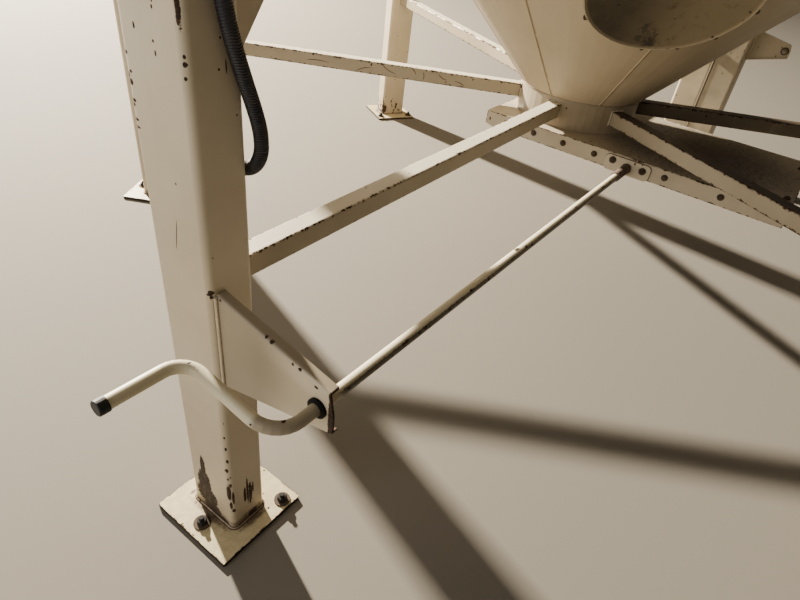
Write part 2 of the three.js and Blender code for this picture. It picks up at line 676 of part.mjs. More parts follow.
// Rounded fold along the bracket's upper edge, from one end of it to the other.
function bracketFold(from, to) {
  const [bend, inner] = [BRACKET_BEND, BRACKET_BEND - BRACKET_THICK];
  const section = new THREE.Shape();
  section.moveTo(0, -3 * bend);
  section.lineTo(BRACKET_THICK, -3 * bend);
  section.absarc(bend, -bend, inner, Math.PI, Math.PI / 2, true);
  section.lineTo(BRACKET_FLANGE, -BRACKET_THICK);
  section.lineTo(BRACKET_FLANGE, 0);
  section.absarc(bend, -bend, bend, Math.PI / 2, Math.PI, false);
  const run = new THREE.Vector3(to[0] - from[0], 0, to[1] - from[1]);
  const length = run.length();
  run.normalize();
  const inward = new THREE.Vector3(0, 1, 0);
  const place = new THREE.Matrix4().makeBasis(inward, run.clone().cross(inward), run)
    .setPosition(from[0], 0, from[1]);
  return extrude(section, length, 6).applyMatrix4(place);
}

// The front face of leg A's bracket: it stands a little forward towards its tip.
function bracketFaceAt(x) {
  return -LEG_OUTER + BRACKET_SETBACK - Math.tan(BRACKET_SKEW) * (x - BRACKET_ROOT_X);
}

// Folded plate in its place on leg A, with a rounded fold above and a short lip below.
function bracketGeometry({ rootZ, tipX, tipZ, corner, holeX, holeZ }) {
  const root = BRACKET_ROOT_X;
  const [rootLow, rootHigh] = rootZ;
  const [tipLow, tipHigh] = tipZ;
  const below = 2 * BRACKET_BEND;
  const beyond = 3 * BRACKET_BEND;
  const rise = (tipLow - rootLow) / (tipX - root);
  const fall = (tipHigh - rootHigh) / (tipX - root);
  const along = tipX - root + beyond;
  const stretch = (startZ, slope) => [
    [root - beyond, startZ - slope * beyond],
    [root + along, startZ + slope * along],
  ];
  const [lowStart, lowEnd] = stretch(rootLow, rise);
  const [highStart, highEnd] = stretch(rootHigh, fall);
  const raised = ([x, z], by) => [x, z + by];
  const face = polygon([lowStart, lowEnd, raised(highEnd, -below), raised(highStart, -below)]);
  const lip = polygon([lowStart, lowEnd, raised(lowEnd, BRACKET_THICK), raised(lowStart, BRACKET_THICK)]);
  const whole = join(
    extrudeAlongY(face, 0, BRACKET_THICK),
    extrudeAlongY(lip, 0, BRACKET_LIP),
    bracketFold(highStart, highEnd),
  );
  whole.translate(-root, 0, 0).rotateZ(-BRACKET_SKEW).translate(root, -LEG_OUTER + BRACKET_SETBACK, 0);
  const [cornerX, cornerZ] = [tipX - corner[0], tipHigh - corner[1]];
  const limits = polygon([
    [root, 0], [tipX, 0], [tipX, cornerZ], [cornerX, tipHigh], [cornerX, 2 * rootHigh], [root, 2 * rootHigh],
  ]);
  const reach = extrudeAlongY(limits, -LEG_OUTER - LEG_DEPTH, -LEG_INNER);
  const holeY = bracketFaceAt(holeX) + BRACKET_THICK / 2;
  const bore = new THREE.CylinderGeometry(BUSH_RADIUS + GAP, BUSH_RADIUS + GAP, 4 * BRACKET_THICK, 24);
  return cut(common(whole, reach), bore.translate(holeX, holeY, holeZ ?? shaftHeightAt(holeY)));
}

function makeBrackets() {
  add('bracket_a', bracketGeometry(NEAR_BRACKET), MATERIAL.cream());
  const mirrored = bracketGeometry(FAR_BRACKET).scale(1, -1, 1).translate(LEG_WIDTH + GAP, 0, 0);
  add('bracket_d', mirrored, MATERIAL.cream(), farPlace());
}

function makeConduit() {
  const lowBox = { width: 44, depth: 46, height: 64 };
  const topBox = { width: 46, depth: 80, height: 110 };
  const entry = CONDUIT_X - 2 * LOOP_RADIUS;
  const hung = new THREE.CatmullRomCurve3([
    [CONDUIT_X, -1797, TOP_BOX_Z - GAP], [CONDUIT_X, -1797, 1600], [CONDUIT_X, -1797, 1330],
    [CONDUIT_X, -1787, 1209], [CONDUIT_X, -1775, 1155], [CONDUIT_X, -1757, 1099],
    [CONDUIT_X, -1739, 1046], [CONDUIT_X, -1731, 1015], [CONDUIT_X, LOOP_Y, LOOP_Z],
  ].map((point) => new THREE.Vector3(...point)), false, 'centripetal');
  const stops = [];
  const hungSteps = 18;
  for (let i = 0; i < hungSteps; i += 1) {
    const t = i / hungSteps;
    stops.push({ point: hung.getPoint(t), way: hung.getTangent(t) });
  }
  const loopSteps = 10;
  for (let i = 0; i <= loopSteps; i += 1) {
    const angle = Math.PI * i / loopSteps;
    const [c, s] = [Math.cos(angle), Math.sin(angle)];
    stops.push({
      point: new THREE.Vector3(CONDUIT_X - LOOP_RADIUS + LOOP_RADIUS * c, LOOP_Y, LOOP_Z - LOOP_RADIUS * s),
      way: new THREE.Vector3(-s, 0, -c),
    });
  }
  stops.push({ point: new THREE.Vector3(entry, LOOP_Y, LOW_BOX_Z - GAP), way: UP.clone() });
  add('conduit', sweepThrough(stops, CONDUIT_RADIUS, 10), MATERIAL.plastic());

  const low = new THREE.BoxGeometry(lowBox.width, lowBox.depth, lowBox.height);
  low.translate(entry, -LEG_INNER + GAP + lowBox.depth / 2, LOW_BOX_Z + lowBox.height / 2);
  add('conduit_box_low', low, MATERIAL.plastic());
  const top = new THREE.BoxGeometry(topBox.width, topBox.depth, topBox.height);
  top.translate(LEG_WIDTH / 2 + GAP + topBox.width / 2, -LEG_RING, TOP_BOX_Z + topBox.height / 2);
  add('conduit_box_top', top, MATERIAL.plastic());
}

makeLegs();
makeFootPlates();
makeStruts();
makeWebs();
makePanels();
makeRim();
makeCollar();
makeManhole();
makeGate();
makeCrank();
makeBearings();
makeBrackets();
makeConduit();

export default silo;
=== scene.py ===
"""Dresses the hopper base of a small grain silo: paint, chips, rust, welds, bolts and conduit."""

import logging
import math
from collections.abc import Iterable, Sequence
from dataclasses import dataclass, field
from enum import Enum
from typing import Any

import bpy
from mathutils import Matrix, Vector


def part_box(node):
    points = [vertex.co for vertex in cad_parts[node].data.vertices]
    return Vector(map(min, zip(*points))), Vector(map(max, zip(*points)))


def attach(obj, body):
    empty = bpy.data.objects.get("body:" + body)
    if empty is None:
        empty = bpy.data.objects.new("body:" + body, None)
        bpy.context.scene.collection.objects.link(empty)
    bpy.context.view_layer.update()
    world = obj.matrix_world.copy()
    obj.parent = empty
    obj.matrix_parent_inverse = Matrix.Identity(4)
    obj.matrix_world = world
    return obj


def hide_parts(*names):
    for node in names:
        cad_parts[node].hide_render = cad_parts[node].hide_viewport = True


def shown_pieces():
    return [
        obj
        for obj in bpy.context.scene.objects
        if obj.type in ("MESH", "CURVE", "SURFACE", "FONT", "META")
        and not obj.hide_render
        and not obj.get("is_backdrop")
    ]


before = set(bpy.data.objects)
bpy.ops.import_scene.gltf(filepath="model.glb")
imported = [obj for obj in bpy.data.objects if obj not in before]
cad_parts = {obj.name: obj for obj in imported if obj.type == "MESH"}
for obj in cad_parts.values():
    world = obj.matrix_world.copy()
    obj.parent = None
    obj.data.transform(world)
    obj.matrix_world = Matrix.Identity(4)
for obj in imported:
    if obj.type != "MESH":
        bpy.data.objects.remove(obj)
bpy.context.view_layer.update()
LOG = logging.getLogger("hopper_base")

Colour = tuple[float, float, float]
Point = tuple[float, float, float]
MM = 0.001

LEG_RING = 1.797
LEG_HALF_WIDTH = 0.075
LEG_HALF_DEPTH = 0.050
LEG_FOOT = 0.0123
LEG_TOP = 2.6293
FOOT_TOP = 0.012
FOOT_HALF = 0.125
RING_INSIDE = 1.7467
PETALS = 8
FIRST_SEAM = -96.0
SEED_STEPS = (1.7, 3.1, 2.3)
LEG_ANGLES = {"a": 0, "b": -60, "c": -120, "d": 177, "e": 120, "f": 60}
FAR_TURN = 3.0
TWIN_SHIFT = 0.1503


class Body(Enum):
    """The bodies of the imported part."""

    BASE = "base"
    CRANK = "crank"
    GATE = "gate"


class Slot(Enum):
    """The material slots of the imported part."""

    CREAM = "cream_paint"
    CONE = "cone_paint"
    STEEL = "bare_steel"
    PLASTIC = "black_plastic"


# Node trees


class Tree:
    """A node tree that is built by one method for every kind of node."""

    def __init__(self, tree: bpy.types.NodeTree) -> None:
        """Starts from an empty tree.

        Args:
            tree: the shader or geometry tree to fill.
        """
        self.tree = tree
        tree.nodes.clear()

    def node(
        self,
        kind: str,
        settings: dict[str, Any] | None = None,
        inputs: dict[str | int, Any] | None = None,
    ) -> bpy.types.Node:
        """Adds a node.

        Args:
            kind: the node's type.
            settings: its properties, set before its sockets; "stops" fills a colour ramp.
            inputs: values or links of its sockets, by name or by number.

        Returns:
            The new node.
        """
        node = self.tree.nodes.new(kind)
        for key, value in (settings or {}).items():
            if key == "stops":
                self._fill_ramp(node.color_ramp, value)
            else:
                setattr(node, key, value)
        for key, value in (inputs or {}).items():
            socket = node.inputs[key]
            if isinstance(value, Wire):
                value = value.socket
            if isinstance(value, bpy.types.NodeSocket):
                self.tree.links.new(value, socket)
            else:
                socket.default_value = value
        return node

    @staticmethod
    def _fill_ramp(ramp: bpy.types.ColorRamp, stops: Sequence[tuple[float, Colour]]) -> None:
        """Gives a colour ramp its stops, in order."""
        while len(ramp.elements) < len(stops):
            ramp.elements.new(1.0)
        for element, (place, colour) in zip(ramp.elements, stops):
            element.position = place
            element.color = (*colour, 1.0)


class Wire:
    """An output socket that takes part in Python expressions."""

    def __init__(self, owner: Tree, socket: bpy.types.NodeSocket) -> None:
        """Wraps a socket.

        Args:
            owner: the tree that new Math nodes go into.
            socket: the output socket.
        """
        self.owner = owner
        self.socket = socket

    def math(self, operation: str, *others: Any, swapped: bool = False) -> "Wire":
        """Adds a Math node.

        Args:
            operation: the node's operation.
            others: its further operands, wires or numbers.
            swapped: whether this wire is the second operand.

        Returns:
            The node's result.
        """
        operands = [*others, self] if swapped else [self, *others]
        node = self.owner.node("ShaderNodeMath", {"operation": operation}, dict(enumerate(operands)))
        return Wire(self.owner, node.outputs[0])

    def __add__(self, other: Any) -> "Wire":
        """Adds."""
        return self.math("ADD", other)

    __radd__ = __add__

    def __sub__(self, other: Any) -> "Wire":
        """Subtracts."""
        return self.math("SUBTRACT", other)

    def __rsub__(self, other: Any) -> "Wire":
        """Subtracts this wire from a number."""
        return self.math("SUBTRACT", other, swapped=True)

    def __mul__(self, other: Any) -> "Wire":
        """Multiplies."""
        return self.math("MULTIPLY", other)

    __rmul__ = __mul__

    def __truediv__(self, other: Any) -> "Wire":
        """Divides."""
        return self.math("DIVIDE", other)

    def __rtruediv__(self, other: Any) -> "Wire":
        """Divides a number by this wire."""
        return self.math("DIVIDE", other, swapped=True)

    def __abs__(self) -> "Wire":
        """The size without its sign."""
        return self.math("ABSOLUTE")

    def __pow__(self, power: Any) -> "Wire":
        """Raises to a power."""
        return self.math("POWER", power)

    def least(self, other: Any) -> "Wire":
        """The smaller of two values."""
        return self.math("MINIMUM", other)

    def most(self, other: Any) -> "Wire":
        """The larger of two values."""
        return self.math("MAXIMUM", other)

    def ramp(self, low: float, high: float) -> "Wire":
        """A smooth step.

        Args:
            low: the value that becomes 0.
            high: the value that becomes 1; it may be the smaller one.

        Returns:
            A wire from 0 to 1.
        """
        flip = low > high
        ends = (1.0, 0.0) if flip else (0.0, 1.0)
        node = self.owner.node(
            "ShaderNodeMapRange",
            {"interpolation_type": "SMOOTHSTEP"},
            {
                "Value": self,
                "From Min": min(low, high),
                "From Max": max(low, high),
                "To Min": ends[0],
                "To Max": ends[1],
            },
        )
        return Wire(self.owner, node.outputs[0])


@dataclass(frozen=True)
class Frame:
    """A piece's own place, in which its edges are at fixed coordinates."""

    turn: float = 0.0
    middle: Point = (0.0, 0.0, 0.0)
    half: Point | None = None


class Paint(Tree):
    """A material's node tree, with the patterns that this object's finishes share."""

    def __init__(self, name: str, frame: Frame, seed: float = 0.0) -> None:
        """Starts a material.

        Args:
            name: the material's name.
            frame: the place of the piece that wears it.
            seed: shifts the random patterns.
        """
        self.material = bpy.data.materials.new(name)
        self.material.use_nodes = True
        super().__init__(self.material.node_tree)
        self.seed = seed
        place = self.node("ShaderNodeTexCoord").outputs["Object"]
        self.world = Wire(self, place)
        turned = self.node(
            "ShaderNodeMapping",
            {"vector_type": "POINT"},
            {
                "Vector": place,
                "Rotation": (0.0, 0.0, math.radians(frame.turn)),
                "Location": tuple(-x for x in frame.middle),
            },
        )
        self.local = Wire(self, turned.outputs[0])
        self.frame = frame

    def axes(self, vector: Wire) -> tuple[Wire, Wire, Wire]:
        """The three coordinates of a vector."""
        parts = self.node("ShaderNodeSeparateXYZ", inputs={0: vector})
        return tuple(Wire(self, out) for out in parts.outputs)

    def stretched(self, vector: Wire, scale: Point) -> Wire:
        """A vector with its coordinates scaled and shifted by the seed."""
        shift = tuple(self.seed * step for step in SEED_STEPS)
        node = self.node(
            "ShaderNodeMapping",
            {"vector_type": "POINT"},
            {"Vector": vector, "Scale": scale, "Location": shift},
        )
        return Wire(self, node.outputs[0])

    def noise(
        self,
        scale: float,
        detail: float = 3.0,
        roughness: float = 0.55,
        stretch: Point = (1.0, 1.0, 1.0),
        vector: Wire | None = None,
    ) -> Wire:
        """Soft noise from 0 to 1.

        Args:
            scale: its spots per metre.
            detail: its octaves.
            roughness: how strong the fine octaves are.
            stretch: factors for the three coordinates.
            vector: the coordinates, those of the object by default.

        Returns:
            The noise.
        """
        place = self.stretched(vector or self.world, stretch)
        node = self.node(
            "ShaderNodeTexNoise",
            inputs={"Vector": place, "Scale": scale, "Detail": detail, "Roughness": roughness},
        )
        return Wire(self, node.outputs["Fac"])

    def specks(
        self, scale: float, share: Any, size: float, stretch: Point = (1.0, 1.0, 1.0)
    ) -> Wire:
        """Small separate marks with ragged outlines, each of its own size.

        Args:
            scale: cells per metre.
            share: the share of cells that hold a mark, a number or a wire.
            size: the largest mark's radius in cells.
            stretch: factors for the three coordinates.

        Returns:
            1 inside a mark and 0 outside.
        """
        ragged = self.node(
            "ShaderNodeTexNoise",
            inputs={"Vector": self.local, "Scale": scale * 2.6, "Detail": 2.0},
        )
        shifted = self.node(
            "ShaderNodeVectorMath",
            {"operation": "MULTIPLY_ADD"},
            {0: ragged.outputs["Color"], 1: (0.55 / scale,) * 3, 2: self.local},
        )
        place = self.stretched(Wire(self, shifted.outputs[0]), stretch)
        cells = self.node("ShaderNodeTexVoronoi", inputs={"Vector": place, "Scale": scale})
        distance = Wire(self, cells.outputs["Distance"])
        chance, radius, _ = self.axes(Wire(self, cells.outputs["Color"]))
        reach = radius * (size * 0.7) + size * 0.3
        inside = (reach - distance).ramp(0.0, 0.05)
        return inside * (share - chance).ramp(0.0, 0.002)

    def edge(self) -> Wire:
        """Distance in metres to the nearest edge of the frame's box, for a point on its surface."""
        half = self.frame.half or (1.0, 1.0, 1.0)
        gaps = [abs(size - abs(axis)) for axis, size in zip(self.axes(self.local), half)]
        low, high = gaps[0].least(gaps[1]), gaps[0].most(gaps[1])
        return low.most(high.least(gaps[2]))

    def marks(self, spots: Iterable["Mark"], softness: float = 0.2) -> Wire | None:
        """Marks at known places on the faces of the frame's box.

        Args:
            spots: their places and sizes.
            softness: how far their outlines fade.

        Returns:
            1 inside a mark and 0 outside, or nothing where there are no marks.
        """
        spots = tuple(spots)
        if not spots:
            return None
        half = self.frame.half or (1.0, 1.0, 1.0)
        x, y, z = self.axes(self.local)
        sides = {
            Face.FRONT: (x, z, y.ramp(-half[1] + 16 * MM, -half[1] + 12 * MM)),
            Face.RIGHT: (y, z, x.ramp(half[0] - 16 * MM, half[0] - 12 * MM)),
            Face.LEFT: (y, z, x.ramp(-half[0] + 16 * MM, -half[0] + 12 * MM)),
            Face.TOP: (x, y, z.ramp(half[2] - 5 * MM, half[2] - 3 * MM)),
        }
        ragged = self.noise(300.0, 3.0, 0.7) * 1.3 + self.noise(75.0, 2.0) * 0.7
        found = None
        for spot in spots:
            across, along, mask = sides[spot.face]
            inside = self._mark(across, along, ragged, spot).ramp(2.0, 2.0 - softness) * mask
            found = inside if found is None else found.most(inside)
        return found

    @staticmethod
    def _mark(across: Wire, along: Wire, ragged: Wire, spot: "Mark") -> Wire:
        """How far a point is from one oval mark, whose outline at 2 is ragged and may be bent."""
        lean = math.radians(spot.lean)
        x, y = across - spot.across, along - spot.along
        down = y * math.cos(lean) - x * math.sin(lean)
        over = x * math.cos(lean) + y * math.sin(lean)
        if spot.bend:
            over = over - down * down * spot.bend
        u, v = over / spot.width, down / spot.length
        return u * u + v * v + ragged

    def blend(self, factor: Any, first: Any, second: Any) -> Wire:
        """Mixes two colours.

        Args:
            factor: 0 for the first and 1 for the second.
            first: a colour or a wire.
            second: a colour or a wire.

        Returns:
            The mixed colour.
        """
        colours = [(*c, 1.0) if isinstance(c, tuple) else c for c in (first, second)]
        node = self.node(
            "ShaderNodeMix",
            {"data_type": "RGBA"},
            {0: factor, 6: colours[0], 7: colours[1]},
        )
        return Wire(self, node.outputs[2])

    def finish(
        self,
        colour: Any,
        roughness: Any,
        height: Wire | None = None,
        depth: float = 0.4 * MM,
        metallic: Any = 0.0,
        shine: float = 0.5,
    ) -> bpy.types.Material:
        """Connects the shader.

        Args:
            colour: the base colour.
            roughness: the roughness.
            height: what the bump follows.
            depth: the bump's height in metres.
            metallic: the metallic value.
            shine: the specular level.

        Returns:
            The material.
        """
        if isinstance(colour, tuple):
            colour = (*colour, 1.0)
        sockets = {
            "Base Color": colour,
            "Roughness": roughness,
            "Metallic": metallic,
            "Specular IOR Level": shine,
        }
        if height is not None:
            bump = self.node("ShaderNodeBump", inputs={"Strength": 1.0, "Distance": depth, "Height": height})
            sockets["Normal"] = bump.outputs[0]
        shader = self.node("ShaderNodeBsdfPrincipled", inputs=sockets)
        self.node("ShaderNodeOutputMaterial", inputs={0: shader.outputs[0]})
        return self.material


# Finishes


class Face(Enum):
    """The side of a piece's own box that a mark is on."""

    FRONT = "front"
    RIGHT = "right"
    LEFT = "left"
    TOP = "top"


@dataclass(frozen=True)
class Mark:
    """A chip or scratch at a known place on one face, in metres and degrees."""

    across: float
    along: float
    width: float
    length: float
    lean: float = 0.0
    face: Face = Face.FRONT
    bend: float = 0.0


RUST_DARK: Colour = (0.026, 0.014, 0.009)
RUST_BROWN: Colour = (0.100, 0.044, 0.020)
RUST_ORANGE: Colour = (0.30, 0.135, 0.048)
STAIN_BROWN: Colour = (0.021, 0.013, 0.008)
STAIN_STREAK: Colour = (0.150, 0.095, 0.060)
# Raw cut steel, painted near black so that it also stands for the shade on the plates' edges.
RAW_EDGE_AND_SHADE: Colour = (0.016, 0.011, 0.008)
WASHED_GRIME: Colour = (0.38, 0.305, 0.205)
GROUND_SPLASH: Colour = (0.40, 0.330, 0.235)
GROUND_DUST: Colour = (0.36, 0.28, 0.18)


@dataclass(frozen=True)
class CreamPaint:
    """Weathered cream enamel on steel, chipped to dark rust, with grime that washes down.

    Attributes:
        name: the material's name.
        frame: the place of the piece that wears it.
        colour: the paint.
        shade: the paint where it has faded.
        grime: how strong the washed streaks are.
        chips: the share of chips on the faces.
        edge_chips: the further share along the edges.
        edge_band: how far from an edge its chips reach.
        ragged_edge: how far bare metal eats in from the edges.
        foot_rust: how strongly rust climbs from the foot.
        raw_shaded_below: the height below which a plate's edge is raw metal, painted near black, partly as
            shade.
        marks: chips and scratches at known places.
        stains: rust stains at known places.
        dirt: caked dirt at known places, and painted shade where a mark stands for a shadow.
        dirt_and_shade_colour: what that dirt and painted shade look like.
        raw_beyond: where along the sheet its raw cut edge begins.
        rear_painted_shade: painted shade on everything behind the front sheet.
        top: the upper face's colour, painted lighter or darker than the sides to stand for sun or shade on
            it.
        seed: shifts the random patterns.
    """

    name: str
    frame: Frame = field(default_factory=Frame)
    colour: Colour = (0.665, 0.580, 0.435)
    shade: Colour = (0.57, 0.485, 0.350)
    grime: float = 0.30
    chips: float = 0.02
    edge_chips: float = 0.3
    edge_band: float = 9 * MM
    ragged_edge: float = 0.0
    foot_rust: float = 0.0
    raw_shaded_below: float | None = None
    marks: tuple[Mark, ...] = ()
    stains: tuple[Mark, ...] = ()
    dirt: tuple[Mark, ...] = ()
    dirt_and_shade_colour: Colour = (0.085, 0.060, 0.038)
    raw_beyond: float | None = None
    rear_painted_shade: Colour | None = None
    top: Colour | None = None
    seed: float = 0.0

    def material(self) -> bpy.types.Material:
        """Builds the material.

        Returns:
            The finished material.
        """
        paint = Paint(self.name, self.frame, self.seed)
        _, _, height = paint.axes(paint.world)
        near = paint.edge().ramp(self.edge_band, 1 * MM) if self.frame.half else None
        body = self._weathered(paint, height, near)
        # Caked dirt at known places; on the gate housing's top the marks are painted shade.
        dirt_and_shade = paint.marks(self.dirt, 1.1)
        if dirt_and_shade is not None:
            caked = paint.noise(120.0, 4.0, 0.7).ramp(0.35, 0.65)
            darker = tuple(0.55 * channel for channel in self.dirt_and_shade_colour)
            body = paint.blend(dirt_and_shade, body, paint.blend(caked, darker, self.dirt_and_shade_colour))
        bare = self._chipped(paint, height, near)
        known = paint.marks(self.marks)
        if known is not None:
            bare = bare.most(known)
        pits, dull = bare, bare
        stained = paint.marks(self.stains)
        if stained is not None:
            streaks = paint.noise(110.0, 4.0, 0.7, (1.0, 1.0, 0.35))
            body = paint.blend(stained * 0.97, body, STAIN_BROWN)
            body = paint.blend(stained * streaks.ramp(0.52, 0.66) * 0.8, body, STAIN_STREAK)
            bare = bare.most(stained * streaks.ramp(0.46, 0.42))
            dull = pits.most(stained)
        rust = paint.blend(paint.noise(150.0, 4.0).ramp(0.42, 0.68), RUST_DARK, RUST_BROWN)
        colour = paint.blend(bare, body, rust)
        # Raw edges painted near black, partly as shade.
        if self.raw_shaded_below is not None:
            raw = height.ramp(self.raw_shaded_below + 1 * MM, self.raw_shaded_below)
            colour = paint.blend(raw * 0.98, colour, RAW_EDGE_AND_SHADE)
        grain = paint.noise(420.0, 2.0) * 0.10 + paint.noise(38.0, 3.0) * 0.30
        sheen = dull * 0.45 + paint.noise(30.0, 3.0) * 0.16 + 0.36
        return paint.finish(colour, sheen, grain - pits * 0.9, 0.5 * MM)

    def _weathered(self, paint: Paint, height: Wire, near: Wire | None) -> Wire:
        """The paint's own colour with grime, dust and rust runs on it.

        Args:
            paint: the material's tree.
            height: the height above the ground.
            near: how near a point is to an edge of its box, where it has one.

        Returns:
            The colour.
        """
        cloudy = paint.noise(2.6, 4.0, 0.6)
        washed = paint.noise(16.0, 4.0, 0.6, (1.0, 1.0, 0.12))
        body = paint.blend(cloudy.ramp(0.35, 0.72), self.colour, self.shade)
        body = paint.blend(washed.ramp(0.52, 0.80) * self.grime, body, WASHED_GRIME)
        # Painted light or shade on the upper face.
        if self.top is not None and self.frame.half:
            _, _, up = paint.axes(paint.local)
            upper = up.ramp(self.frame.half[2] - 2.5 * MM, self.frame.half[2] - 0.8 * MM)
            body = paint.blend(upper, body, self.top)
        # Painted shade behind the front sheet.
        if self.rear_painted_shade is not None and self.frame.half:
            _, back, _ = paint.axes(paint.local)
            behind = back.ramp(3 * MM - self.frame.half[1], 8 * MM - self.frame.half[1])
            body = paint.blend(behind, body, self.rear_painted_shade)
        body = paint.blend(height.ramp(0.50, 0.0) * 0.5, body, GROUND_SPLASH)
        dust = height.ramp(0.16, 0.0) * paint.noise(45.0, 4.0).ramp(0.35, 0.6)
        body = paint.blend(dust * 0.35, body, GROUND_DUST)
        fade = paint.noise(70.0, 3.0, 0.6, (1.0, 1.0, 0.10)).ramp(0.60, 0.78)
        run = fade * (0.3 if near is None else near) * paint.noise(5.0).ramp(0.45, 0.65)
        return paint.blend(run * 0.5, body, RUST_ORANGE)

    def _chipped(self, paint: Paint, height: Wire, near: Wire | None) -> Wire:
        """Chips of many sizes, thickest along the edges, and rust that eats a post's foot.

        Args:
            paint: the material's tree.
            height: the height above the ground.
            near: how near a point is to an edge of its box, where it has one.

        Returns:
            1 where the paint is gone.
        """
        share = self.chips if near is None else near * self.edge_chips + self.chips
        fine = paint.specks(95.0, share, 0.42, (1.0, 1.0, 0.55))
        large = paint.specks(26.0, share * 0.35, 0.26, (1.0, 1.0, 0.40))
        bare = fine.most(large)
        if self.ragged_edge:
            reach = (paint.noise(42.0, 5.0, 0.75) - 0.46) * self.ragged_edge
            bare = bare.most((reach - paint.edge()).ramp(0.0, 0.4 * MM))
        if self.raw_beyond is not None:
            along, _, _ = paint.axes(paint.local)
            eaten = paint.noise(95.0, 4.0, 0.7) * 9 * MM + along
            bare = bare.most(eaten.ramp(self.raw_beyond, self.raw_beyond + 0.5 * MM))
        if self.foot_rust:
            climb = height.ramp(0.19, 0.03)
            blotch = paint.noise(21.0, 5.0, 0.7, (1.0, 1.0, 0.6))
            eaten = (blotch + climb * 0.22 * self.foot_rust).ramp(0.665, 0.69)
            bare = bare.most(eaten * climb.ramp(0.0, 0.1))
        return bare


@dataclass(frozen=True)
class ConePaint:
    """The hopper's paint: a tan that is painted light thrown up warm from the ground onto the cream,
    streaked down the slope, with a line of painted shade beside each seam.
    """

    name: str
    # Painted light: the tan stands for warm light from the ground on the cream paint.
    colour: Colour = (0.47, 0.395, 0.280)
    shade: Colour = (0.41, 0.335, 0.225)
    streaked: Colour = (0.27, 0.20, 0.12)
    dusted: Colour = (0.52, 0.44, 0.31)
    seam_painted_shade: Colour = (0.13, 0.085, 0.045)
    seed: float = 0.0

    def material(self) -> bpy.types.Material:
        """Builds the material.

        Returns:
            The finished material.
        """
        paint = Paint(self.name, Frame(), self.seed)
        x, y, z = paint.axes(paint.world)
        angle = y.math("ARCTAN2", x)
        reach = (x * x + y * y).math("SQRT")
        around = paint.node("ShaderNodeCombineXYZ", inputs={0: angle * 1.2, 1: reach * 0.16, 2: z * 0.16})
        down = Wire(paint, around.outputs[0])
        streak = paint.noise(9.0, 5.0, 0.62, vector=down)
        cloudy = paint.noise(2.2, 5.0, 0.6)
        body = paint.blend(cloudy.ramp(0.35, 0.70), self.colour, self.shade)
        body = paint.blend(streak.ramp(0.50, 0.80) * 0.16, body, self.streaked)
        body = paint.blend(paint.noise(30.0, 4.0).ramp(0.60, 0.80) * 0.15, body, self.dusted)
        step = 2 * math.pi / PETALS
        phase = (angle - math.radians(FIRST_SEAM)) / step
        off = (phase - phase.math("ROUND")) * reach * step
        # Painted shade: a dark line down one side of each seam, where the lap edge throws its shade.
        line = abs(off - 4.5 * MM).ramp(4.5 * MM, 1.5 * MM) * paint.noise(40.0, 3.0).ramp(0.20, 0.50)
        body = paint.blend(line * 0.62, body, self.seam_painted_shade)
        bare = paint.specks(60.0, 0.010, 0.34)
        colour = paint.blend(bare, body, RUST_DARK)
        relief = paint.noise(5.0, 2.0) * 0.8 + paint.noise(300.0, 2.0) * 0.07 - bare * 0.5
        return paint.finish(colour, 0.44 + cloudy * 0.2 + bare * 0.3, relief, 1.2 * MM)


@dataclass(frozen=True)
class LidPaint:
    """The manhole lid: olive brown, stained in pools, with painted light on one side and a painted highlight
    along its rim.
    """

    name: str
    centre: Point
    radius: float
    colour: Colour = (0.036, 0.027, 0.015)
    faded: Colour = (0.066, 0.050, 0.028)
    sunlit: Colour = (0.215, 0.170, 0.095)
    pooled: Colour = (0.013, 0.009, 0.006)
    flecked: Colour = (0.055, 0.036, 0.020)
    rim_painted_highlight: Colour = (0.34, 0.27, 0.16)
    stains: tuple[tuple[Point, float], ...] = (
        ((-0.0505, 0.1170, -0.1310), 0.040),
        ((-0.0550, 0.0850, -0.1050), 0.034),
        ((-0.0680, 0.0300, -0.0620), 0.022),
    )
    seed: float = 5.0

    def material(self) -> bpy.types.Material:
        """Builds the material.

        Returns:
            The finished material.
        """
        paint = Paint(self.name, Frame(middle=self.centre), self.seed)
        x, y, z = paint.axes(paint.local)
        reach = (x * x + y * y + z * z).math("SQRT")
        pool = paint.noise(6.5, 5.0, 0.65)
        fleck = paint.noise(38.0, 4.0, 0.7)
        body = paint.blend(pool.ramp(0.38, 0.64), self.colour, self.faded)
        # Painted light: one side of the lid is lighter.
        side = (x * 0.82 + y * 0.57).ramp(-0.09, self.radius * 0.6)
        body = paint.blend(side * 0.85, body, self.sunlit)
        for spot, size in self.stains:
            away = paint.node("ShaderNodeVectorMath", {"operation": "DISTANCE"}, {0: paint.local, 1: spot})
            gap = Wire(paint, away.outputs[1]) + (fleck + pool - 1.0) * 0.080
            body = paint.blend(gap.ramp(size * 1.2, size * 0.6) * 0.92, body, self.pooled)
        body = paint.blend(fleck.ramp(0.55, 0.75) * 0.7, body, self.flecked)
        # A painted highlight along the rim, where chips also gather.
        rim = reach.ramp(self.radius - 9 * MM, self.radius - 1 * MM)
        body = paint.blend(rim * 0.5, body, self.rim_painted_highlight)
        bare = paint.specks(70.0, rim * 0.25 + 0.03, 0.4)
        colour = paint.blend(bare, body, RUST_DARK)
        relief = pool * 0.7 + fleck * 0.2 - bare * 0.4
        return paint.finish(colour, 0.48 + fleck * 0.3, relief, 0.8 * MM)


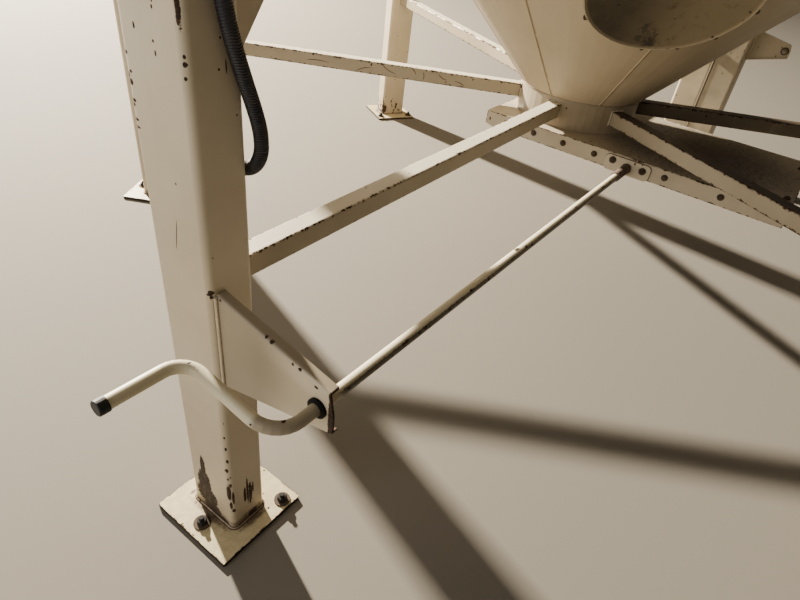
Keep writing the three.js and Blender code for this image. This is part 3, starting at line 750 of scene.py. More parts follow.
@dataclass(frozen=True)
class RustySteel:
    """Bare steel that has gone brown: bolts, nuts, shaft, rack and slide."""

    name: str
    colour: Colour = (0.075, 0.047, 0.030)
    bloom: float = 0.8
    polish: float = 0.0
    black_above: float | None = None
    black: Colour = (0.010, 0.008, 0.007)
    bright: Colour = (0.30, 0.27, 0.24)
    seed: float = 0.0

    def material(self) -> bpy.types.Material:
        """Builds the material.

        Returns:
            The finished material.
        """
        paint = Paint(self.name, Frame(), self.seed)
        coarse = paint.noise(55.0, 5.0, 0.65)
        fine = paint.noise(330.0, 4.0, 0.7)
        body = paint.blend(coarse.ramp(0.40, 0.66) * self.bloom, self.colour, RUST_BROWN)
        body = paint.blend(fine.ramp(0.56, 0.74) * self.bloom, body, RUST_ORANGE)
        body = paint.blend(fine.ramp(0.46, 0.30) * 0.8, body, RUST_DARK)
        if self.black_above is not None:
            _, _, height = paint.axes(paint.world)
            crown = height.ramp(self.black_above, self.black_above + 1 * MM)
            body = paint.blend(crown * 0.97, body, self.black)
        worn = paint.noise(20.0, 3.0).ramp(0.62, 0.40) * self.polish
        body = paint.blend(worn, body, self.bright)
        return paint.finish(
            body, 0.86 - worn * 0.45, coarse * 0.5 + fine * 0.6, 0.5 * MM, metallic=worn * 0.9
        )


@dataclass(frozen=True)
class CrankPaint:
    """The crank's paint: clean and bright on the grip, chipped on the long shaft; its bright yellow cream
    stands for sunlight, and the brown beneath the shaft and on the lower bend is painted shade.

    Attributes:
        name: the material's name.
        axis_x: the shaft's distance from the middle plane.
        axis_height: the shaft's height where y is 0.
        axis_rise: how much it rises for each metre along y.
        shaft_from: the y at which the shaft begins, behind the bend.
        colour: the paint, a bright yellow cream that stands for sunlight on it.
        shade: the paint where it has faded.
        under: painted shade on the shaft's underside.
        bent: painted shadow of the leg on the rod between the bend and the shaft.
        bend_from: the x at which that stretch begins.
        seed: shifts the random patterns.
    """

    name: str
    axis_x: float
    axis_height: float
    axis_rise: float
    shaft_from: float
    colour: Colour = (0.84, 0.765, 0.56)
    shade: Colour = (0.74, 0.660, 0.46)
    under: Colour = (0.050, 0.034, 0.022)
    bent: Colour = (0.30, 0.245, 0.175)
    bend_from: float = 0.287
    seed: float = 0.0

    def material(self) -> bpy.types.Material:
        """Builds the material.

        Returns:
            The finished material.
        """
        paint = Paint(self.name, Frame(), self.seed)
        x, y, z = paint.axes(paint.world)
        # Painted light: the bright yellow cream stands for sunlight on the crank.
        body = paint.blend(paint.noise(4.0, 4.0, 0.6).ramp(0.35, 0.72), self.colour, self.shade)
        shaft = y.ramp(self.shaft_from, self.shaft_from + 0.03)
        ragged = paint.noise(90.0, 4.0, 0.7) * 6 * MM
        # Painted shade: the shaft's underside turns dark brown.
        drop = y * self.axis_rise + self.axis_height - z
        below = drop * 0.75 + (x - self.axis_x) * 0.65 + ragged
        body = paint.blend(shaft * below.ramp(0.0, 3.5 * MM) * 0.92, body, self.under)
        # Painted shadow of the leg on the lower bend.
        bend = (1.0 - shaft) * (x + ragged).ramp(self.bend_from, self.bend_from + 12 * MM)
        body = paint.blend(bend * 0.8, body, self.bent)
        scuffed = (1.0 - shaft) * abs(x - self.bend_from).ramp(16 * MM, 6 * MM)
        share = shaft * below.ramp(-6 * MM, 2 * MM) * 0.34 + scuffed * 0.30 + 0.02
        fine = paint.specks(110.0, share, 0.42, (1.0, 0.6, 1.0))
        large = paint.specks(38.0, share * 0.8, 0.36, (1.0, 0.5, 1.0))
        bare = fine.most(large)
        rust = paint.blend(paint.noise(150.0, 4.0).ramp(0.42, 0.68), RUST_DARK, RUST_BROWN)
        grain = paint.noise(420.0, 2.0) * 0.10 + paint.noise(38.0, 3.0) * 0.25
        sheen = bare * 0.42 + paint.noise(30.0, 3.0) * 0.16 + 0.34
        return paint.finish(paint.blend(bare, body, rust), sheen, grain - bare * 0.8, 0.4 * MM)


@dataclass(frozen=True)
class BlackPlastic:
    """Black plastic greyed by dust and sun."""

    name: str
    colour: Colour = (0.012, 0.013, 0.015)
    greyed: Colour = (0.060, 0.058, 0.055)
    dusted: Colour = (0.14, 0.125, 0.10)
    dust: float = 0.35
    shine: float = 0.4
    seed: float = 0.0

    def material(self) -> bpy.types.Material:
        """Builds the material.

        Returns:
            The finished material.
        """
        paint = Paint(self.name, Frame(), self.seed)
        haze = paint.noise(22.0, 4.0, 0.6)
        fine = paint.noise(260.0, 3.0, 0.6)
        body = paint.blend(haze.ramp(0.40, 0.75) * self.dust, self.colour, self.greyed)
        body = paint.blend(fine.ramp(0.62, 0.75) * self.dust, body, self.dusted)
        return paint.finish(body, 0.40 + haze * 0.25, fine, 0.15 * MM, shine=self.shine)


@dataclass(frozen=True)
class HosePlastic:
    """Corrugated hose: blue-black, with dust in the grooves that shows most low down."""

    name: str
    pitch: float
    dusty_below: float
    colour: Colour = (0.010, 0.0125, 0.022)
    greyed: Colour = (0.026, 0.027, 0.032)
    dust: Colour = (0.105, 0.085, 0.062)
    seed: float = 0.0

    def material(self) -> bpy.types.Material:
        """Builds the material.

        Returns:
            The finished material.
        """
        paint = Paint(self.name, Frame(), self.seed)
        _, _, height = paint.axes(paint.world)
        groove = (height * (math.tau / self.pitch)).math("COSINE").ramp(0.35, 0.95)
        low = height.ramp(self.dusty_below, self.dusty_below - 0.16)
        patchy = paint.noise(30.0, 4.0, 0.65)
        fine = paint.noise(240.0, 3.0, 0.6)
        body = paint.blend(patchy.ramp(0.40, 0.75) * 0.5, self.colour, self.greyed)
        lines = groove * (low * 0.75 + 0.12) * patchy.ramp(0.30, 0.60)
        body = paint.blend(lines, body, self.dust)
        body = paint.blend(fine.ramp(0.64, 0.76) * 0.4, body, self.dust)
        return paint.finish(body, 0.42 + patchy * 0.25, fine, 0.15 * MM)


# Geometry trees


class Rule(Tree):
    """A Geometry Nodes tree with named sizes, run on a mesh and turned into plain mesh."""

    def __init__(self, name: str, sizes: dict[str, float | int]) -> None:
        """Starts a tree.

        Args:
            name: the tree's name.
            sizes: its named inputs with their default values.
        """
        super().__init__(bpy.data.node_groups.new(name, "GeometryNodeTree"))
        face = self.tree.interface
        face.new_socket("Geometry", in_out="INPUT", socket_type="NodeSocketGeometry")
        for key, value in sizes.items():
            kind = "NodeSocketInt" if isinstance(value, int) else "NodeSocketFloat"
            face.new_socket(key, in_out="INPUT", socket_type=kind).default_value = value
        face.new_socket("Material", in_out="INPUT", socket_type="NodeSocketMaterial")
        face.new_socket("Geometry", in_out="OUTPUT", socket_type="NodeSocketGeometry")
        self.given = self.node("NodeGroupInput").outputs

    def size(self, name: str) -> Wire:
        """A named input, for use in expressions."""
        return Wire(self, self.given[name])

    def vector(self, x: Any = 0.0, y: Any = 0.0, z: Any = 0.0) -> bpy.types.NodeSocket:
        """A vector from three values or wires."""
        return self.node("ShaderNodeCombineXYZ", inputs={0: x, 1: y, 2: z}).outputs[0]

    def close(self, geometry: bpy.types.NodeSocket) -> None:
        """Ends the tree: instances become mesh, and the material is set.

        Args:
            geometry: what the tree has made.
        """
        real = self.node("GeometryNodeRealizeInstances", inputs={0: geometry}).outputs[0]
        dressed = self.node(
            "GeometryNodeSetMaterial", inputs={"Geometry": real, "Material": self.given["Material"]}
        )
        self.node("NodeGroupOutput", inputs={0: dressed.outputs[0]})

    def run(
        self,
        name: str,
        start: bpy.types.Mesh,
        material: bpy.types.Material,
        sizes: dict[str, float | int] | None = None,
    ) -> bpy.types.Object:
        """Runs the tree on a mesh.

        Args:
            name: the new piece's name.
            start: the mesh that the tree starts from.
            material: the material it sets.
            sizes: values for its named inputs.

        Returns:
            A plain mesh object at the origin.
        """
        carrier = bpy.data.objects.new(f"{name}_start", start)
        bpy.context.scene.collection.objects.link(carrier)
        modifier = carrier.modifiers.new("rule", "NODES")
        modifier.node_group = self.tree
        given = {**(sizes or {}), "Material": material}
        for item in self.tree.interface.items_tree:
            if item.in_out == "INPUT" and item.name in given:
                modifier[item.identifier] = given[item.name]
        carrier.data.update()
        view = bpy.context.evaluated_depsgraph_get()
        mesh = bpy.data.meshes.new_from_object(carrier.evaluated_get(view))
        carrier.modifiers.remove(modifier)
        bpy.data.objects.remove(carrier)
        mesh.name = name
        piece = bpy.data.objects.new(name, mesh)
        bpy.context.scene.collection.objects.link(piece)
        return piece


def fastener_rule() -> Rule:
    """A hexagon with a chamfered top on a washer, with a stud through it, at every vertex.

    The vertices hold the direction it points in as the attribute "facing".

    Returns:
        The tree.
    """
    rule = Rule(
        "fasteners",
        {
            "Head radius": 0.012,
            "Head height": 0.009,
            "Washer radius": 0.016,
            "Washer height": 0.002,
            "Stud radius": 0.006,
            "Stud length": 0.006,
            "Chamfer": 0.0015,
            "Seed": 3,
        },
    )
    parts = []
    base = rule.size("Washer height")
    head, rim = rule.size("Head height"), rule.size("Head radius")
    chamfer = rule.size("Chamfer")
    washer, stud = rule.size("Washer radius"), rule.size("Stud radius")
    stacks = [
        (24, washer, washer * 0.97, base, 0.0),
        (6, rim, rim, head - chamfer, base),
        (6, rim, rim * 0.86, chamfer, base + head - chamfer),
        (10, stud, stud * 0.88, rule.size("Stud length"), base + head),
    ]
    for sides, bottom, top, depth, lift in stacks:
        solid = rule.node(
            "GeometryNodeMeshCone",
            {"fill_type": "NGON"},
            {"Vertices": sides, "Radius Top": top, "Radius Bottom": bottom, "Depth": depth},
        )
        raised = rule.node(
            "GeometryNodeTransform",
            inputs={"Geometry": solid.outputs[0], "Translation": rule.vector(z=lift)},
        )
        parts.append(raised.outputs[0])
    whole = rule.node("GeometryNodeJoinGeometry")
    for part in reversed(parts):
        rule.tree.links.new(part, whole.inputs[0])
    facing = rule.node(
        "GeometryNodeInputNamedAttribute", {"data_type": "FLOAT_VECTOR"}, {"Name": "facing"}
    )
    upright = rule.node(
        "FunctionNodeAlignRotationToVector", {"axis": "Z"}, {"Vector": facing.outputs[0]}
    )
    spin = rule.node(
        "FunctionNodeRandomValue",
        {"data_type": "FLOAT"},
        {2: 0.0, 3: math.tau, "Seed": rule.given["Seed"]},
    )
    turned = rule.node(
        "FunctionNodeAxisAngleToRotation", inputs={"Axis": (0.0, 0.0, 1.0), "Angle": spin.outputs[1]}
    )
    facing_turn = rule.node(
        "FunctionNodeRotateRotation",
        {"rotation_space": "LOCAL"},
        {"Rotation": upright.outputs[0], "Rotate By": turned.outputs[0]},
    )
    placed = rule.node(
        "GeometryNodeInstanceOnPoints",
        inputs={
            "Points": rule.given["Geometry"],
            "Instance": whole.outputs[0],
            "Rotation": facing_turn.outputs[0],
        },
    )
    rule.close(placed.outputs[0])
    return rule


def rippled_rule() -> Rule:
    """A round bead or hose along a path, whose radius swells and shrinks at an even pitch.

    Returns:
        The tree.
    """
    rule = Rule(
        "rippled",
        {
            "Radius": 0.004,
            "Depth": 0.001,
            "Pitch": 0.006,
            "Steps": 4,
            "Sides": 10,
            "Unevenness": 0.0,
        },
    )
    path = rule.node("GeometryNodeMeshToCurve", inputs={0: rule.given["Geometry"]}).outputs[0]
    step = rule.size("Pitch") / rule.size("Steps")
    even = rule.node(
        "GeometryNodeResampleCurve", {"mode": "LENGTH"}, {"Curve": path, "Length": step}
    ).outputs[0]
    index = Wire(rule, rule.node("GeometryNodeInputIndex").outputs[0])
    wave = (index / rule.size("Steps") * math.tau).math("COSINE") * 0.5 + 0.5
    wild = Wire(rule, rule.node("ShaderNodeTexNoise", inputs={"Scale": 90.0, "Detail": 2.0}).outputs[0])
    swell = rule.size("Radius") - rule.size("Depth") * (1 - wave)
    swell = swell * (1 + (wild - 0.5) * rule.size("Unevenness"))
    ring = rule.node(
        "GeometryNodeCurvePrimitiveCircle",
        {"mode": "RADIUS"},
        {"Resolution": rule.given["Sides"], "Radius": 1.0},
    )
    tube = rule.node(
        "GeometryNodeCurveToMesh",
        inputs={"Curve": even, "Profile Curve": ring.outputs[0], "Scale": swell, "Fill Caps": True},
    )
    rule.close(tube.outputs[0])
    return rule


# Mesh helpers


def points_mesh(name: str, places: Sequence[Point], facing: Sequence[Point]) -> bpy.types.Mesh:
    """A mesh of loose vertices that hold the direction a fastener points in.

    Args:
        name: the mesh's name.
        places: the vertices.
        facing: one direction for each.

    Returns:
        The mesh.
    """
    mesh = bpy.data.meshes.new(name)
    mesh.from_pydata([tuple(p) for p in places], [], [])
    held = mesh.attributes.new("facing", "FLOAT_VECTOR", "POINT")
    held.data.foreach_set("vector", [c for way in facing for c in way])
    return mesh


def path_mesh(name: str, lines: Sequence[Sequence[Point]], closed: bool = False) -> bpy.types.Mesh:
    """A mesh of edges along one or more lines.

    Args:
        name: the mesh's name.
        lines: the points of each line.
        closed: whether each line returns to its start.

    Returns:
        The mesh.
    """
    vertices: list[Point] = []
    edges: list[tuple[int, int]] = []
    for line in lines:
        first = len(vertices)
        vertices += [tuple(p) for p in line]
        edges += [(i, i + 1) for i in range(first, len(vertices) - 1)]
        if closed:
            edges.append((len(vertices) - 1, first))
    mesh = bpy.data.meshes.new(name)
    mesh.from_pydata(vertices, edges, [])
    return mesh


def turned_point(letter: str, x: float, y: float, z: float) -> Vector:
    """A point of leg A's place moved to another leg's place."""
    return Matrix.Rotation(math.radians(LEG_ANGLES[letter]), 3, "Z") @ Vector((x, y, z))


def far_point(x: float, y: float, z: float) -> Vector:
    """A point of the far pair of posts, from the place where their faces stand square."""
    return Matrix.Rotation(math.radians(-FAR_TURN), 3, "Z") @ Vector((x, y, z))


def box_frame(node: str) -> Frame:
    """The frame of a node whose box stands square to the axes."""
    low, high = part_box(node)
    return Frame(0.0, tuple((low + high) / 2), tuple((high - low) / 2))


def rounded_ring(x: float, y: float, corner: float) -> list[tuple[float, float]]:
    """Points round a rectangle with rounded corners.

    Args:
        x: half its width.
        y: half its depth.
        corner: the radius of its corners.

    Returns:
        Points in the plane, anticlockwise.
    """
    ring = []
    for turn, (sx, sy) in enumerate(((1, -1), (1, 1), (-1, 1), (-1, -1))):
        for step in range(5):
            a = math.radians(-90 + 90 * turn + 22.5 * step)
            across = sx * (x - corner) + corner * math.cos(a)
            ring.append((across, sy * (y - corner) + corner * math.sin(a)))
    return ring


def own(piece: bpy.types.Object, body: Body) -> bpy.types.Object:
    """Lets a piece ride on a body.

    Args:
        piece: the piece.
        body: the body it moves with.

    Returns:
        The piece.
    """
    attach(piece, body.value)
    LOG.info("%s: %d faces on %s", piece.name, len(piece.data.polygons), body.value)
    return piece


@dataclass(frozen=True)
class Fastener:
    """The sizes of one kind of bolt, nut or screw, with a radius and a height for each part.

    Attributes:
        head: the hexagon.
        washer: the washer under it.
        stud: the end that stands out of it.
        chamfer: how deep the head's upper edge is cut.
    """

    head: tuple[float, float]
    washer: tuple[float, float]
    stud: tuple[float, float] = (0.006, 0.006)
    chamfer: float = 0.0015

    def sizes(self) -> dict[str, float]:
        """The sizes by the named inputs of the fastener tree."""
        return {
            "Head radius": self.head[0],
            "Head height": self.head[1],
            "Washer radius": self.washer[0],
            "Washer height": self.washer[1],
            "Stud radius": self.stud[0],
            "Stud length": self.stud[1],
            "Chamfer": self.chamfer,
        }


def fasten(
    bolts: Rule,
    name: str,
    places: Sequence[Point],
    ways: Sequence[Point],
    material: bpy.types.Material,
    kind: Fastener,
) -> None:
    """Puts a bolt, nut or screw at each place, pointing its way.

    Args:
        bolts: the fastener tree.
        name: the new piece's name.
        places: where each one sits.
        ways: the direction of each.
        material: what they wear.
        kind: their sizes.
    """
    heads = bolts.run(name, points_mesh(f"{name}_places", places, ways), material, kind.sizes())
    own(heads, Body.BASE)


def lay_bead(
    bead: Rule,
    name: str,
    lines: Sequence[Sequence[Point]],
    material: bpy.types.Material,
    sizes: dict[str, float],
    closed: bool = False,
) -> None:
    """Lays a round bead along each line, such as a weld or a strap.

    Args:
        bead: the rippled tree.
        name: the new piece's name.
        lines: the points of each line.
        material: what it wears.
        sizes: its sizes, by the tree's named inputs.
        closed: whether each line returns to its start.
    """
    piece = bead.run(name, path_mesh(f"{name}_path", lines, closed), material, sizes)
    own(piece, Body.BASE)


def dirt_line(
    bead: Rule,
    name: str,
    lines: Sequence[Sequence[Point]],
    radius: float,
    closed: bool = False,
    tone: Colour = (0.055, 0.034, 0.020),
) -> None:
    """Makes thin uneven lines of brown dirt, as along the edge of a weld.

    Args:
        bead: the rippled tree.
        name: the new piece's name.
        lines: the points of each line.
        radius: how thick the dirt is.
        closed: whether each line returns to its start.
        tone: the dirt's colour.
    """
    brown = RustySteel(f"{name}_brown", colour=tone, bloom=0.35, seed=9.0).material()
    sizes = {"Radius": radius, "Depth": radius * 0.3, "Pitch": 7 * MM, "Sides": 6, "Unevenness": 1.1}
    lay_bead(bead, name, lines, brown, sizes, closed)


def dress(names: Iterable[str], material: bpy.types.Material) -> None:
    """Gives CAD nodes their material.

    Args:
        names: the nodes.
        material: what they wear.
    """
    for name in names:
        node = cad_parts[name]
        node.data.materials.clear()
        node.data.materials.append(material)
        LOG.info("%s wears %s", name, material.name)


# Camera, light and floor


@dataclass
class Studio:
    """The camera at the photograph's place, a low key light and a pale floor."""

    image_width: int = 800
    focal_pixels: float = 582.35
    place: Point = (0.7751, -2.3418, 1.3784)
    pitch: float = 36.618
    yaw: float = 32.1355
    roll: float = -7.9106
    sensor_width: float = 36.0
    clip: tuple[float, float] = (0.05, 200.0)
    sun_way: Point = (0.8907, -0.1509, -0.4289)
    sun_distance: float = 11.0
    lit_point: Point = (0.2, -0.6, 0.6)
    haze_colour: Colour = (1.0, 0.91, 0.78)
    haze_strength: float = 0.10
    floor_reach: float = 60.0
    floor_colour: Colour = (0.190, 0.172, 0.146)
    floor_roughness: float = 0.85

    def build(self) -> None:
        """Makes the camera first, then the lights and the floor."""
        self.camera()
        self.lights()
        self.floor()

    def camera(self) -> None:
        """Makes the camera."""
        pitch, yaw, roll = (math.radians(a) for a in (self.pitch, -self.yaw, self.roll))
        ahead = Vector(
            (math.sin(yaw) * math.cos(pitch), math.cos(yaw) * math.cos(pitch), -math.sin(pitch))
        )
        level = Vector((math.cos(yaw), -math.sin(yaw), 0.0))
        down = ahead.cross(level)
        right = math.cos(roll) * level + math.sin(roll) * down
        below = -math.sin(roll) * level + math.cos(roll) * down
        data = bpy.data.cameras.new("camera")
        data.sensor_width = self.sensor_width
        data.lens = self.focal_pixels / self.image_width * data.sensor_width
        data.clip_start, data.clip_end = self.clip
        camera = bpy.data.objects.new("camera", data)
        bpy.context.scene.collection.objects.link(camera)
        turn = Matrix((right, -below, -ahead)).transposed()
        camera.matrix_world = Matrix.Translation(self.place) @ turn.to_4x4()
        bpy.context.scene.camera = camera

    def lights(self) -> None:
        """Makes the low key light, two soft fills and dim warm surroundings."""
        world = bpy.data.worlds.new("surroundings")
        world.use_nodes = True
        background = world.node_tree.nodes["Background"]
        background.inputs[0].default_value = (*self.haze_colour, 1.0)
        background.inputs[1].default_value = self.haze_strength
        bpy.context.scene.world = world
        sun = Vector(self.sun_way) * -self.sun_distance
        self._lamp("key", sun, 0.3, 8000.0, (1.0, 0.90, 0.73))
        self._lamp("fill_front", Vector((-0.6, -4.5, 1.5)), 2.2, 50.0, (1.0, 0.94, 0.84))
        self._lamp("bounce", Vector((-3.2, -2.6, 0.35)), 1.8, 40.0, (1.0, 0.90, 0.74))

    def _lamp(self, name: str, place: Vector, size: float, power: float, colour: Colour) -> None:
        """A square lamp that looks at the lit point.

        Args:
            name: the lamp's name.
            place: where it hangs.
            size: the length of its sides.
            power: its power in watts.
            colour: its colour.
        """
        data = bpy.data.lights.new(name, "AREA")
        data.shape, data.size = "SQUARE", size
        data.energy, data.color = power, colour
        lamp = bpy.data.objects.new(name, data)
        lamp.location = place
        lamp.rotation_euler = (Vector(self.lit_point) - place).to_track_quat("-Z", "Y").to_euler()
        bpy.context.scene.collection.objects.link(lamp)

    def floor(self) -> None:
        """Makes the plain floor."""
        r = self.floor_reach
        mesh = bpy.data.meshes.new("floor")
        mesh.from_pydata([(-r, -r, 0), (r, -r, 0), (r, r, 0), (-r, r, 0)], [], [(0, 1, 2, 3)])
        floor = bpy.data.objects.new("floor", mesh)
        bpy.context.scene.collection.objects.link(floor)
        plain = Paint("floor_plain", Frame())
        mesh.materials.append(plain.finish(self.floor_colour, self.floor_roughness))
        floor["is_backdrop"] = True


# Sub-assemblies


@dataclass
class Legs:
    """Six legs and the second post beside the far one, on their foot plates with anchors."""

    anchor_offset: float = 0.088
    anchor_spread: float = 0.100
    stud: float = 0.0062
    weld: float = 3.6 * MM
    corner: float = 0.014
    joint_depth: float = 0.044
    joint_ends: tuple[float, float] = (0.015, 2.627)
    far_plate_half: float = 0.200
    colour: Colour = (0.665, 0.580, 0.435)
    # Painted shade: the far pair of posts wear a darker copy of the cream.
    far_painted_shade_colour: Colour = (0.29, 0.255, 0.190)

    def build(self, bolts: Rule, bead: Rule) -> None:
        """Dresses the posts and plates, and adds nuts and welds.

        Args:
            bolts: the fastener tree.
            bead: the weld tree.
        """
        middle = (LEG_FOOT + LEG_TOP) / 2
        half = (LEG_HALF_WIDTH, LEG_HALF_DEPTH, (LEG_TOP - LEG_FOOT) / 2)
        for number, (letter, angle) in enumerate(LEG_ANGLES.items()):
            near = letter == "a"
            finish = CreamPaint(
                f"leg_paint_{letter}",
                Frame(-angle, (0.0, -LEG_RING, middle), half),
                # The far post's darker colour is painted shade.
                colour=self.far_painted_shade_colour if letter == "d" else self.colour,
                grime=0.16 if near else 0.30,
                chips=0.004 if near else 0.015,
                edge_chips=0.10 if near else 0.30,
                foot_rust=0.0 if near else 0.7,
                marks=self._front_chips() + self._side_chips() if near else (),
                stains=self._foot_rust() if near else (),
                dirt=(
                    Mark(0.0, -1.2960, 0.095, 0.020),
                    Mark(0.0, -1.2960, 0.070, 0.020, face=Face.RIGHT),
                ),
                dirt_and_shade_colour=(0.150, 0.100, 0.062),
                seed=float(number),
            )
            dress([f"leg_{letter}"], finish.material())
            self._foot_plate(letter, angle, 10.0 + number)
        twin = Frame(FAR_TURN, (TWIN_SHIFT, LEG_RING, middle), half)
        # Painted shade on the second far post too.
        second = CreamPaint("leg_paint_twin", twin, colour=self.far_painted_shade_colour, foot_rust=0.7, seed=8.0)
        dress(["leg_d_twin"], second.material())
        self._anchors(bolts)
        self._foot_welds(bead)

    def _foot_plate(self, letter: str, angle: float, seed: float) -> None:
        """Dresses one foot plate, painted brighter and yellower as if sunlit and nearly clean on top, raw
        and dark on its edges, which also stands for their shade.

        Args:
            letter: the leg's letter.
            angle: the leg's place round the ring.
            seed: shifts the random patterns.
        """
        wide, middle = (self.far_plate_half, -LEG_HALF_WIDTH) if letter == "d" else (FOOT_HALF, 0.0)
        worn = CreamPaint(
            f"foot_paint_{letter}",
            Frame(-angle, (middle, -LEG_RING, FOOT_TOP / 2), (wide, FOOT_HALF, FOOT_TOP / 2)),
            # Painted light: a brighter, yellower copy of the cream stands for sunlight on the plate.
            colour=(0.89, 0.775, 0.45),
            shade=(0.83, 0.70, 0.38),
            chips=0.06,
            edge_chips=0.35,
            ragged_edge=0.018,
            dirt=(
                Mark(0.0, -0.060, 0.088, 0.013, face=Face.TOP),
                Mark(0.086, 0.0, 0.013, 0.060, face=Face.TOP),
                Mark(-0.088, -0.045, 0.008, 0.014, face=Face.TOP),
            ),
            dirt_and_shade_colour=(0.20, 0.140, 0.090),
            # The raw edges are painted near black, partly as shade.
            raw_shaded_below=FOOT_TOP - 1.6 * MM,
            seed=seed,
        )
        dress([f"foot_plate_{letter}"], worn.material())

    @staticmethod
    def _front_chips() -> tuple[Mark, ...]:
        """The long scratch, the specks and the nicks on the near leg's front face."""
        return (
            Mark(0.0672, -0.0980, 0.0038, 0.050, 2.0),
            Mark(0.0672, -0.1340, 0.0026, 0.009),
            Mark(0.0165, -0.1210, 0.0018, 0.0040),
            Mark(0.0150, -0.1300, 0.0022, 0.0030),
            Mark(-0.0333, -0.1630, 0.0026, 0.0052),
            Mark(0.0082, -0.1749, 0.0024, 0.0022),
            Mark(0.0100, -0.1905, 0.0022, 0.0045),
            Mark(0.0700, -0.1815, 0.0018, 0.0030),
            Mark(0.0700, -0.1918, 0.0026, 0.0040),
            Mark(0.0690, -0.2108, 0.0022, 0.0030),
            Mark(0.0715, -0.5770, 0.0034, 0.0060),
            Mark(0.0680, -0.5810, 0.0026, 0.0030),
            Mark(0.0720, -0.5870, 0.0022, 0.0040),
            Mark(0.0180, -0.3868, 0.0022, 0.0022),
            Mark(0.0006, -0.4890, 0.0011, 0.032, -10.6),
            Mark(-0.0630, -0.2057, 0.0034, 0.0030),
            Mark(-0.0660, -0.2380, 0.0040, 0.0045),
            Mark(-0.0590, -0.2323, 0.0034, 0.0026),
            Mark(-0.0620, -0.2485, 0.0055, 0.0050),
            Mark(-0.0620, -0.2760, 0.0055, 0.0032),
            Mark(-0.0650, -0.2830, 0.0050, 0.0030),
            Mark(-0.0650, -0.3066, 0.0080, 0.0026),
            Mark(-0.0670, -0.3190, 0.0100, 0.0026),
        )

    @staticmethod
    def _side_chips() -> tuple[Mark, ...]:
        """The chips down the near leg's right corner and the scrapes low on its side."""
        chips = (
            (-0.0470, -0.9655, 0.0014, 0.0042),
            (-0.0466, -1.0031, 0.0018, 0.0060),
            (-0.0460, -1.0454, 0.0022, 0.0066),
            (-0.0480, -1.0786, 0.0020, 0.0080),
            (-0.0478, -1.1107, 0.0014, 0.0042),
            (-0.0440, -1.1050, 0.0012, 0.0040),
            (-0.0480, -1.1640, 0.0028, 0.030),
            (-0.0420, -1.1850, 0.0030, 0.026),
            (-0.0470, -1.2130, 0.0022, 0.016),
            (-0.0430, -1.2340, 0.0040, 0.0070),
            (-0.0095, -1.2060, 0.0046, 0.030),
            (-0.0010, -1.1950, 0.0036, 0.052),
            (0.0075, -1.2080, 0.0060, 0.036),
            (0.0160, -1.1980, 0.0024, 0.022),
            (0.0050, -1.2400, 0.0030, 0.016),
            (0.0051, -0.2045, 0.0020, 0.0022),
            (0.0107, -0.1625, 0.0016, 0.0018),
            (0.0325, -0.2761, 0.0016, 0.0018),
            (0.0180, -0.2020, 0.0014, 0.0110),
        )
        return tuple(Mark(*chip, face=Face.RIGHT) for chip in chips)

    @staticmethod
    def _foot_rust() -> tuple[Mark, ...]:
        """The tongue of rust that widens towards the weld on the near leg's front face."""
        return (
            Mark(-0.0225, -1.146, 0.010, 0.050),
            Mark(-0.0235, -1.204, 0.026, 0.052),
            Mark(-0.0200, -1.250, 0.040, 0.044),
            Mark(-0.0030, -1.288, 0.034, 0.026),
            Mark(0.0280, -1.3010, 0.030, 0.0100),
            Mark(0.0100, -1.2960, 0.016, 0.0120, face=Face.RIGHT),
        )

    def _anchors(self, bolts: Rule) -> None:
        """Dark nuts on brown washers, on studs through the foot plates."""
        spots = [(0.0, -self.anchor_offset), (-self.anchor_spread, self.anchor_offset)]
        spots.append((self.anchor_spread, self.anchor_offset))
        places = [
            turned_point(letter, x, -LEG_RING + y, FOOT_TOP)
            for letter in LEG_ANGLES
            if letter != "d"
            for x, y in spots
        ]
        for x in (-self.anchor_spread, TWIN_SHIFT + self.anchor_spread):
            places.append(far_point(x, LEG_RING - self.anchor_offset, FOOT_TOP))
        for x in (0.0, TWIN_SHIFT):
            places.append(far_point(x, LEG_RING + self.anchor_offset, FOOT_TOP))
        washer = 3 * MM
        rust = RustySteel(
            "anchor_rust",
            colour=(0.070, 0.050, 0.036),
            bloom=0.35,
            black_above=FOOT_TOP + washer,
            seed=1.0,
        )
        kind = Fastener((0.0130, 0.012), (0.0215, washer), (self.stud, 0.009), 0.0020)
        ways = [(0.0, 0.0, 1.0)] * len(places)
        fasten(bolts, "anchor_nuts", places, ways, rust.material(), kind)

    def _foot_welds(self, bead: Rule) -> None:
        """A painted bead round the foot of each post, with dirt along both of its edges, and a dark bead
        down the joint of the far posts, whose dark colour is painted shade.
        """

        def rings(grow: float, height: float) -> list[list[Vector]]:
            """One ring round each post, this far outside its faces."""
            ring = rounded_ring(LEG_HALF_WIDTH + grow, LEG_HALF_DEPTH + grow, self.corner + grow)
            posts = [
                [turned_point(letter, x, -LEG_RING + y, height) for x, y in ring]
                for letter in LEG_ANGLES
            ]
            return [*posts, [far_point(TWIN_SHIFT + x, LEG_RING + y, height) for x, y in ring]]

        brown = CreamPaint(
            "foot_weld_paint", colour=(0.30, 0.225, 0.145), shade=(0.20, 0.14, 0.09), chips=0.4
        )
        sizes = {"Radius": self.weld, "Depth": 0.8 * MM, "Pitch": 6 * MM, "Unevenness": 0.5}
        lines = rings(1 * MM, FOOT_TOP + 1 * MM)
        lay_bead(bead, "foot_welds", lines, brown.material(), sizes, closed=True)
        joints = [
            [far_point(TWIN_SHIFT / 2, LEG_RING + side * self.joint_depth, z) for z in self.joint_ends]
            for side in (-1, 1)
        ]
